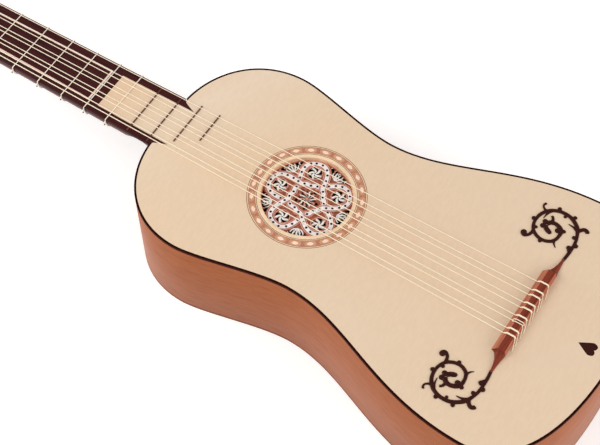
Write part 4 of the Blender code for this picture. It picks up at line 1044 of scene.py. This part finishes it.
for number in range(1, 9):
    y = STRING_LENGTH * 2 ** (-number / 12)
    reach = GAP + FRET_RADIUS
    half, depth, over = neck_half(y) + reach, neck_depth(y) + reach, TOP_Z + reach
    ring = [(-half + FRET_RADIUS, y, over), (half - FRET_RADIUS, y, over),
            (half - 0.3 * FRET_RADIUS, y, over - 0.3 * FRET_RADIUS), (half, y, TOP_Z - FRET_RADIUS)]
    ring += [(half * math.cos(t), y, RIB_HIGH_Z - depth * math.sin(t) ** 0.9)
             for t in (math.pi * i / RING_STEPS for i in range(RING_STEPS + 1))]
    ring += [(-half, y, TOP_Z - FRET_RADIUS), (-half + 0.3 * FRET_RADIUS, y, over - 0.3 * FRET_RADIUS)]
    knot_x = -half - KNOT_OUT
    coil = [(knot_x + KNOT_RADIUS * math.cos(t), y - 0.5 * MM + COIL_LEAD * t / math.tau,
             TOP_Z - KNOT_DROP + 1.4 * KNOT_RADIUS * math.sin(t))
            for t in (math.tau * i / COIL_STEPS for i in range(2 * COIL_STEPS + 1))]
    end_bead_place = (-half - END_BEAD_OUT, y - 1.0 * MM, TOP_Z - END_BEAD_DROP)
    end = smooth_route([(knot_x, y - 0.2 * MM, TOP_Z - KNOT_DROP),
                        (knot_x - 0.9 * MM, y - 0.6 * MM, TOP_Z - 2.3 * MM), end_bead_place], 4)
    # Dark bead of painted shade at the fret's end.
    shaded_end_bead = add(bpy.ops.mesh.primitive_uv_sphere_add, segments=16, ring_count=10, radius=END_BEAD_RADIUS,
                location=end_bead_place)
    smooth(shaded_end_bead, 60)
    dress(shaded_end_bead, "shaded_end_bead", end_bead_painted_shade)
    fret = join_all([gut_line(ring, FRET_RADIUS, fret_gut, True),
                     gut_line(coil, 0.8 * KNOT_RADIUS, fret_gut),
                     gut_line(end, FRET_RADIUS, fret_gut), shaded_end_bead], "gut_fret_%d" % number)
    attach(fret, "tied_fret_%d" % number)
    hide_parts("tied_fret_%d" % number)

# Bridge: low block of reddish wood drilled for each string, which thins and curves into a tail
# at both ends. It is carved from one piece and glued on.
BRIDGE_HOLE_HEIGHT = 5.0 * MM
BRIDGE_HOLE_RADIUS = 1.0 * MM
DRILL_LENGTH = 30 * MM
BRIDGE_HEIGHT = 7.5 * MM
BRIDGE_REACH = 64 * MM
BLOCK_END = 44.5 * MM
REAR_TOP_Y, REAR_FOOT_Y, FRONT_TOP_Y = -7.0 * MM, -8.0 * MM, -0.2 * MM
# Sections in millimetres: distance out, front foot, front top, rear top, rear foot, height.
BRIDGE_SECTIONS = ((0, 5.2, -0.2, -7.0, -8.0, 7.5), (44.6, 5.2, -0.2, -7.0, -8.0, 7.5),
                   (44.9, 3.4, -0.4, -6.9, -7.9, 5.2), (46.2, 1.5, -0.7, -6.8, -7.8, 4.4),
                   (51.0, -1.3, -2.2, -6.1, -7.0, 2.9), (56.0, -2.8, -3.3, -5.7, -6.6, 2.1),
                   (61.0, -3.7, -4.0, -5.6, -6.3, 1.6), (64.0, -4.1, -4.4, -5.4, -5.9, 1.4))
BRIDGE_CUTS = (61, 58.5, 56, 53.5, 51, 49.5, 48, 46.2, 44.9, 44.6, 43, 41)
# Each string across, at the bridge and at the nut.
STRING_X = ((30.2, 23.0), (20.6, 14.8), (15.0, 11.0), (6.25, 3.5), (0.65, -0.3),
            (-8.1, -7.8), (-13.7, -11.6), (-22.45, -19.1), (-28.05, -22.9))


def bridge_section(out):
    """Section of the bridge at a distance from the centre line, eased between the named ones."""
    for first, second in zip(BRIDGE_SECTIONS, BRIDGE_SECTIONS[1:]):
        if first[0] * MM <= out <= second[0] * MM:
            share = (out / MM - first[0]) / (second[0] - first[0])
            return [(a + (b - a) * share) * MM for a, b in zip(first[1:], second[1:])]
    return [value * MM for value in BRIDGE_SECTIONS[-1][1:]]


bridge = add(bpy.ops.mesh.primitive_cube_add, size=2)
cuts = [out * MM / BRIDGE_REACH for out in BRIDGE_CUTS]
cut_across([-cut for cut in cuts] + cuts[::-1], (1, 0, 0))
for vertex in bridge.data.vertices:
    x = vertex.co.x * BRIDGE_REACH
    foot, top, rear_top, rear_foot, height = bridge_section(abs(x))
    up, front = vertex.co.z > 0, vertex.co.y > 0
    y = (top if front else rear_top) if up else (foot if front else rear_foot)
    vertex.co = (x, y, TOP_Z + (height if up else 0))
round_edges(bridge, 0.35 * MM, 3, 25)
hole_z = TOP_Z + BRIDGE_HOLE_HEIGHT
for bridge_x, nut_x in STRING_X:
    drill = add(bpy.ops.mesh.primitive_cylinder_add, vertices=24, radius=BRIDGE_HOLE_RADIUS,
                depth=DRILL_LENGTH, location=(bridge_x * MM, 0, hole_z), rotation=(math.pi / 2, 0, 0))
    cut_with(bridge, drill)
smooth(bridge, 30)
BRIDGE_GRAIN = (0.12, 3.0, 3.0)
bridge_finish = wood_finish("bridge_wood", (128, 58, 42), (92, 38, 28), BRIDGE_GRAIN, 150, 0.4, shine=0.12)
# Painted sheen: the block's front and rear faces take a lighter copy of the bridge's wood, for the light
# they catch and the pale soundboard they reflect.
bridge_painted_sheen = wood_finish("bridge_painted_sheen", (184, 112, 86), (150, 84, 62), BRIDGE_GRAIN, 150, 0.42,
                           shine=0.12)
dress(bridge, "bridge_block", bridge_finish, bridge_painted_sheen)
# The front and rear faces of the block, not its tails, take the painted sheen.
for face in bridge.data.polygons:
    face.material_index = 1 if abs(face.normal.y) > 0.25 and abs(face.center.x) < BLOCK_END else 0
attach(bridge, "guitar")
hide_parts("bridge")

# Scrolls: fret-sawn dark vines glued beside the bridge, carved round on top. Each coils in to a
# lobed head and carries small leaves, buds and tendrils.
SCROLL_RISE = 0.45
SCROLL_FOOT = 0.45 * MM
CARVING_GRID = 0.22 * MM
SANDINGS = 4
# Centre lines of the treble scroll in millimetres: across, along, half-width.
VINE = ((62.0, -4.8, 1.4), (66, -5.3, 1.5), (70.5, -5.7, 1.6), (76, -5.8, 1.6), (80.5, -5.8, 1.5),
        (85.3, -5.3, 1.5), (89, -4.3, 1.5), (93.5, -2.6, 1.7), (97.5, -0.4, 2.0), (101, 3.2, 1.9),
        (103.8, 7.8, 1.9), (105.2, 12, 1.8), (105.5, 16.5, 1.8), (104.9, 21, 1.8), (103.4, 25, 1.8),
        (100.9, 28.7, 1.9), (97.6, 31.6, 1.8), (93.8, 33.6, 1.7), (89.6, 34.6, 1.6), (85.4, 34.7, 1.5),
        (81, 33.8, 1.5), (76.4, 31.4, 1.6), (73.4, 27.7, 1.7), (71.8, 23.6, 1.7), (71.5, 19.3, 1.7),
        (72.7, 15.3, 1.7), (75, 12.1, 1.7), (78.2, 10.3, 1.6), (82.1, 9.6, 1.6), (86, 9.8, 1.9),
        (89.2, 11.8, 2.3), (91.2, 15.2, 2.1), (91.8, 18.4, 2.0), (91.1, 21.4, 2.2), (88.9, 23.9, 2.4),
        (86.0, 24.8, 2.3), (83.6, 22.8, 2.3), (82.0, 19.9, 2.4), (81.4, 18.4, 2.1))
BRANCHES = (((77.4, 31.7, 1.4), (74.4, 31.4, 1.5), (71.4, 31.9, 1.5), (68.6, 33.6, 1.4), (67.2, 36.2, 1.4),
             (68.6, 38.6, 1.4)),
            ((99.4, 31.0, 1.5), (100.8, 34.0, 1.0), (103.4, 35.7, 0.9), (106.4, 34.6, 1.2)),
            ((94.8, -2.2, 1.7), (98.2, -4.2, 1.8), (99.9, -6.8, 1.9), (98.7, -9.4, 2.0), (97.6, -9.9, 1.6)),
            ((95.2, -1.2, 1.5), (97.0, 3.2, 1.0), (97.6, 8.2, 0.5)),
            ((102.2, 26.4, 1.3), (97.6, 28.6, 0.9), (91.6, 29.7, 0.4)),
            ((76.8, 11.0, 1.3), (72.9, 9.4, 0.8), (70.4, 6.6, 0.4)),
            ((91.0, 21.6, 1.6), (94.2, 21.8, 1.4), (96.4, 23.0, 1.2), (97.2, 24.4, 1.2)))
# Buds and lobes: across, along, radius.
BUDS = ((76.4, -3.3, 2.4), (81.0, -7.3, 2.3), (87.8, -2.4, 2.0), (106.3, 6.4, 1.9), (107.3, 22, 1.9),
        (102.6, 14.2, 1.5), (87, 36.7, 2.1), (69.5, 21.4, 1.8), (80.0, 31.0, 1.7), (86.7, 13.0, 2.6),
        (84.5, 26.6, 2.4), (89.3, 26.7, 2.5), (88.6, 8.2, 1.9), (69.8, 37.3, 2.8), (81.4, 18.6, 2.1),
        (74.0, -4.6, 1.8))
EYE = (87.1, 24.3, 0.9)


def vine_part(points, side):
    """Round stem of changing width through points in millimetres."""
    return sweep([(side * x * MM, y * MM, 0) for x, y, half in points], [half for x, y, half in points],
                 bevel_depth=MM, bevel_resolution=4, resolution_u=8, use_fill_caps=True)


for side, name in ((1, "treble"), (-1, "bass")):
    parts = [vine_part(line, side) for line in (VINE, *BRANCHES)]
    parts += [add(bpy.ops.mesh.primitive_uv_sphere_add, segments=24, ring_count=12, radius=radius * MM,
                  location=(side * x * MM, y * MM, 0)) for x, y, radius in BUDS]
    scroll = join_all(parts, "carved_scroll_" + name)
    open_mesh(0.001 * MM)
    bpy.ops.mesh.normals_make_consistent(inside=False)
    bpy.ops.object.mode_set(mode="OBJECT")
    modify(scroll, "REMESH", mode="VOXEL", voxel_size=CARVING_GRID)
    modify(scroll, "SMOOTH", iterations=SANDINGS)
    for vertex in scroll.data.vertices:
        vertex.co.z = TOP_Z + max(0.0, SCROLL_FOOT + vertex.co.z * SCROLL_RISE)
    drill = add(bpy.ops.mesh.primitive_cylinder_add, vertices=24, radius=EYE[2] * MM, depth=8 * MM,
                location=(side * EYE[0] * MM, EYE[1] * MM, TOP_Z))
    cut_with(scroll, drill)
    smooth(scroll, 60)
    scroll.data.materials.append(dark_finish)
    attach(scroll, "guitar")
    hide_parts("scroll_" + name)

# Pegs: turned and tapered shafts put in from behind the head, with a collar and a thin thumb
# piece that is hollowed a little on both faces. Each turns on its own body.
COLLAR_TOP = -HEAD_FACE_THICK - GAP - HEAD_THICK - 2.5 * MM
THUMB_HALF = (11.5 * MM, 3.6 * MM, 10.5 * MM)
THUMB_DROP = 3.5 * MM
THUMB_THICK = 0.86
THUMB_HOLLOW, THUMB_RIM = 0.62, 0.72
# Turned profile in millimetres: radius, then height over the collar's top.
PEG_PROFILE = ((2.4, 28.8), (3.1, 28.6), (3.3, 28.2), (4.32, 0.2), (5.4, 0.0), (6.2, -0.6), (6.2, -1.3),
               (5.5, -1.8), (5.5, -2.2), (6.0, -2.7), (5.6, -3.4), (4.2, -4.2), (3.4, -5.4), (3.2, -7.0),
               (3.3, -8.6))
peg_finish = wood_finish("peg_wood", (66, 30, 24), (42, 18, 14), (3.0, 3.0, 0.25), 260, 0.3, 0.1, 0.2)


def turned(profile):
    """Turned body: a disc is pulled along and resized at each place of its profile."""
    body = add(bpy.ops.mesh.primitive_circle_add, vertices=48, radius=profile[0][0], fill_type="NGON",
               location=(0, 0, profile[0][1]))
    bpy.ops.object.mode_set(mode="EDIT")
    bpy.ops.mesh.select_all(action="SELECT")
    for (radius, height), (next_radius, next_height) in zip(profile, profile[1:]):
        bpy.ops.mesh.extrude_region_move(TRANSFORM_OT_translate={"value": (0, 0, next_height - height)})
        bpy.ops.transform.resize(value=(next_radius / radius, next_radius / radius, 1))
    bpy.ops.mesh.select_all(action="SELECT")
    bpy.ops.mesh.normals_make_consistent(inside=False)
    bpy.ops.object.mode_set(mode="OBJECT")
    return body


shaft = turned([(radius * MM, COLLAR_TOP + height * MM) for radius, height in PEG_PROFILE])
thumb = add(bpy.ops.mesh.primitive_uv_sphere_add, segments=56, ring_count=28, radius=1,
            rotation=(math.pi / 2, 0, 0))
for vertex in thumb.data.vertices:
    out = min(1.0, math.hypot(vertex.co.x, vertex.co.z))
    hollow = THUMB_HOLLOW + (1 - THUMB_HOLLOW) * min(1.0, out / THUMB_RIM) ** 2
    vertex.co = (vertex.co.x * THUMB_HALF[0], vertex.co.y * THUMB_HALF[1] * hollow * THUMB_THICK,
                 COLLAR_TOP - THUMB_DROP - THUMB_HALF[2] + vertex.co.z * THUMB_HALF[2])
cut_with(shaft, thumb, "UNION")
smooth(shaft, 40)
for number in range(1, STRINGS + 1):
    peg = copy_of(shaft, "turned_peg_%d" % number)
    peg.data.transform(head_place @ Matrix.Translation((*peg_place(number)[:2], 0)))
    peg.data.materials.append(peg_finish)
    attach(peg, "peg_%d" % number)
    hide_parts("peg_%d" % number)
bpy.data.objects.remove(shaft)

# Strings: plain gut, one single first string and four pairs. Each is looped over the bridge and
# through its hole, runs over the nut and winds down its peg.
STRING_RADII = (0.36, 0.38, 0.38, 0.40, 0.40, 0.42, 0.42, 0.44, 0.44)
NUT_STRING_RISE = 1.85 * MM
WIND_TURNS = 2
WIND_STEPS = 28
WIND_PITCH = 1.5 * MM
WIND_TOP = 8.2 * MM
# How far aside the two legs of a tie stand, in millimetres; those of the seventh string stand wider.
TIE_SPREAD, WIDE_SPREAD = (0.38, -0.38), (1.1, -1.3)
WIDE_TIED = 7
TIE_START_Y = REAR_FOOT_Y + 1.0 * MM
OUT_OF_BRIDGE_Y = 6 * MM
TIE_STEPS = 5
nut_z = TOP_Z + NUT_STRING_RISE
string_gut = clouded("string_gut", (254, 242, 217), (247, 231, 202), 320, 0.35, 0.1)


def tie_loop(x, radius, first, last):
    """Loop over the bridge: up from the hole at the back, round the string in front, and back again."""
    crown = TOP_Z + BRIDGE_HEIGHT + radius + 0.05 * MM
    rear = REAR_FOOT_Y - radius
    over = [(REAR_TOP_Y - radius, crown - 0.8 * MM), (REAR_TOP_Y + 0.7 * MM, crown),
            (REAR_TOP_Y / 2, crown), (FRONT_TOP_Y - 0.4 * MM, crown), (0.9 * MM, crown - 1.0 * MM)]
    route = [(0, TIE_START_Y, hole_z), (0.4 * first, rear + 0.35 * MM, hole_z + 0.5 * MM)]
    route += [(first, y, z) for y, z in over]
    route += [(0.8 * first, 2.3 * MM, hole_z + 1.2 * radius),
              (0.25 * (first + last), 2.1 * MM, hole_z - 2.1 * radius),
              (0.8 * last, 2.3 * MM, hole_z + 1.2 * radius)]
    route += [(last, y, z) for y, z in over[::-1]]
    route += [(last - 1.2 * MM, rear + 0.2 * MM, TOP_Z + 4.6 * MM),
              (last - 3.4 * MM, rear - 0.5 * MM, TOP_Z + 2.6 * MM),
              (last - 6.6 * MM, rear - 1.4 * MM, TOP_Z + 0.9 * MM),
              (last - 8.6 * MM, rear - 1.7 * MM, TOP_Z + radius)]
    return [(x + aside, y, z) for aside, y, z in route]


for number, ((bridge_x, nut_x), radius) in enumerate(zip(STRING_X, STRING_RADII), 1):
    radius, x, end_x = radius * MM, bridge_x * MM, nut_x * MM
    route = [(x, TIE_START_Y, hole_z), (x, OUT_OF_BRIDGE_Y, hole_z), (end_x, STRING_LENGTH, nut_z),
             (end_x, STRING_LENGTH + NUT_WIDTH, nut_z)]
    peg_x, along, side = peg_place(number)
    wind = shaft_radius(WIND_TOP - WIND_TURNS * WIND_PITCH) + radius
    for i in range(WIND_TURNS * WIND_STEPS + 1):
        turn = math.tau * i / WIND_STEPS
        route.append(head_place @ Vector((peg_x - side * wind * math.cos(turn),
                                          along + wind * math.sin(turn),
                                          WIND_TOP - WIND_PITCH * i / WIND_STEPS)))
    first, last = WIDE_SPREAD if number == WIDE_TIED else TIE_SPREAD
    tie = smooth_route(tie_loop(x, radius, first * MM, last * MM), TIE_STEPS)
    string = join_all([gut_line(route, radius, string_gut), gut_line(tie, radius, string_gut)],
                      "gut_string_%d" % number)
    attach(string, "guitar")
    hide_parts("string_%d" % number)

low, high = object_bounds()
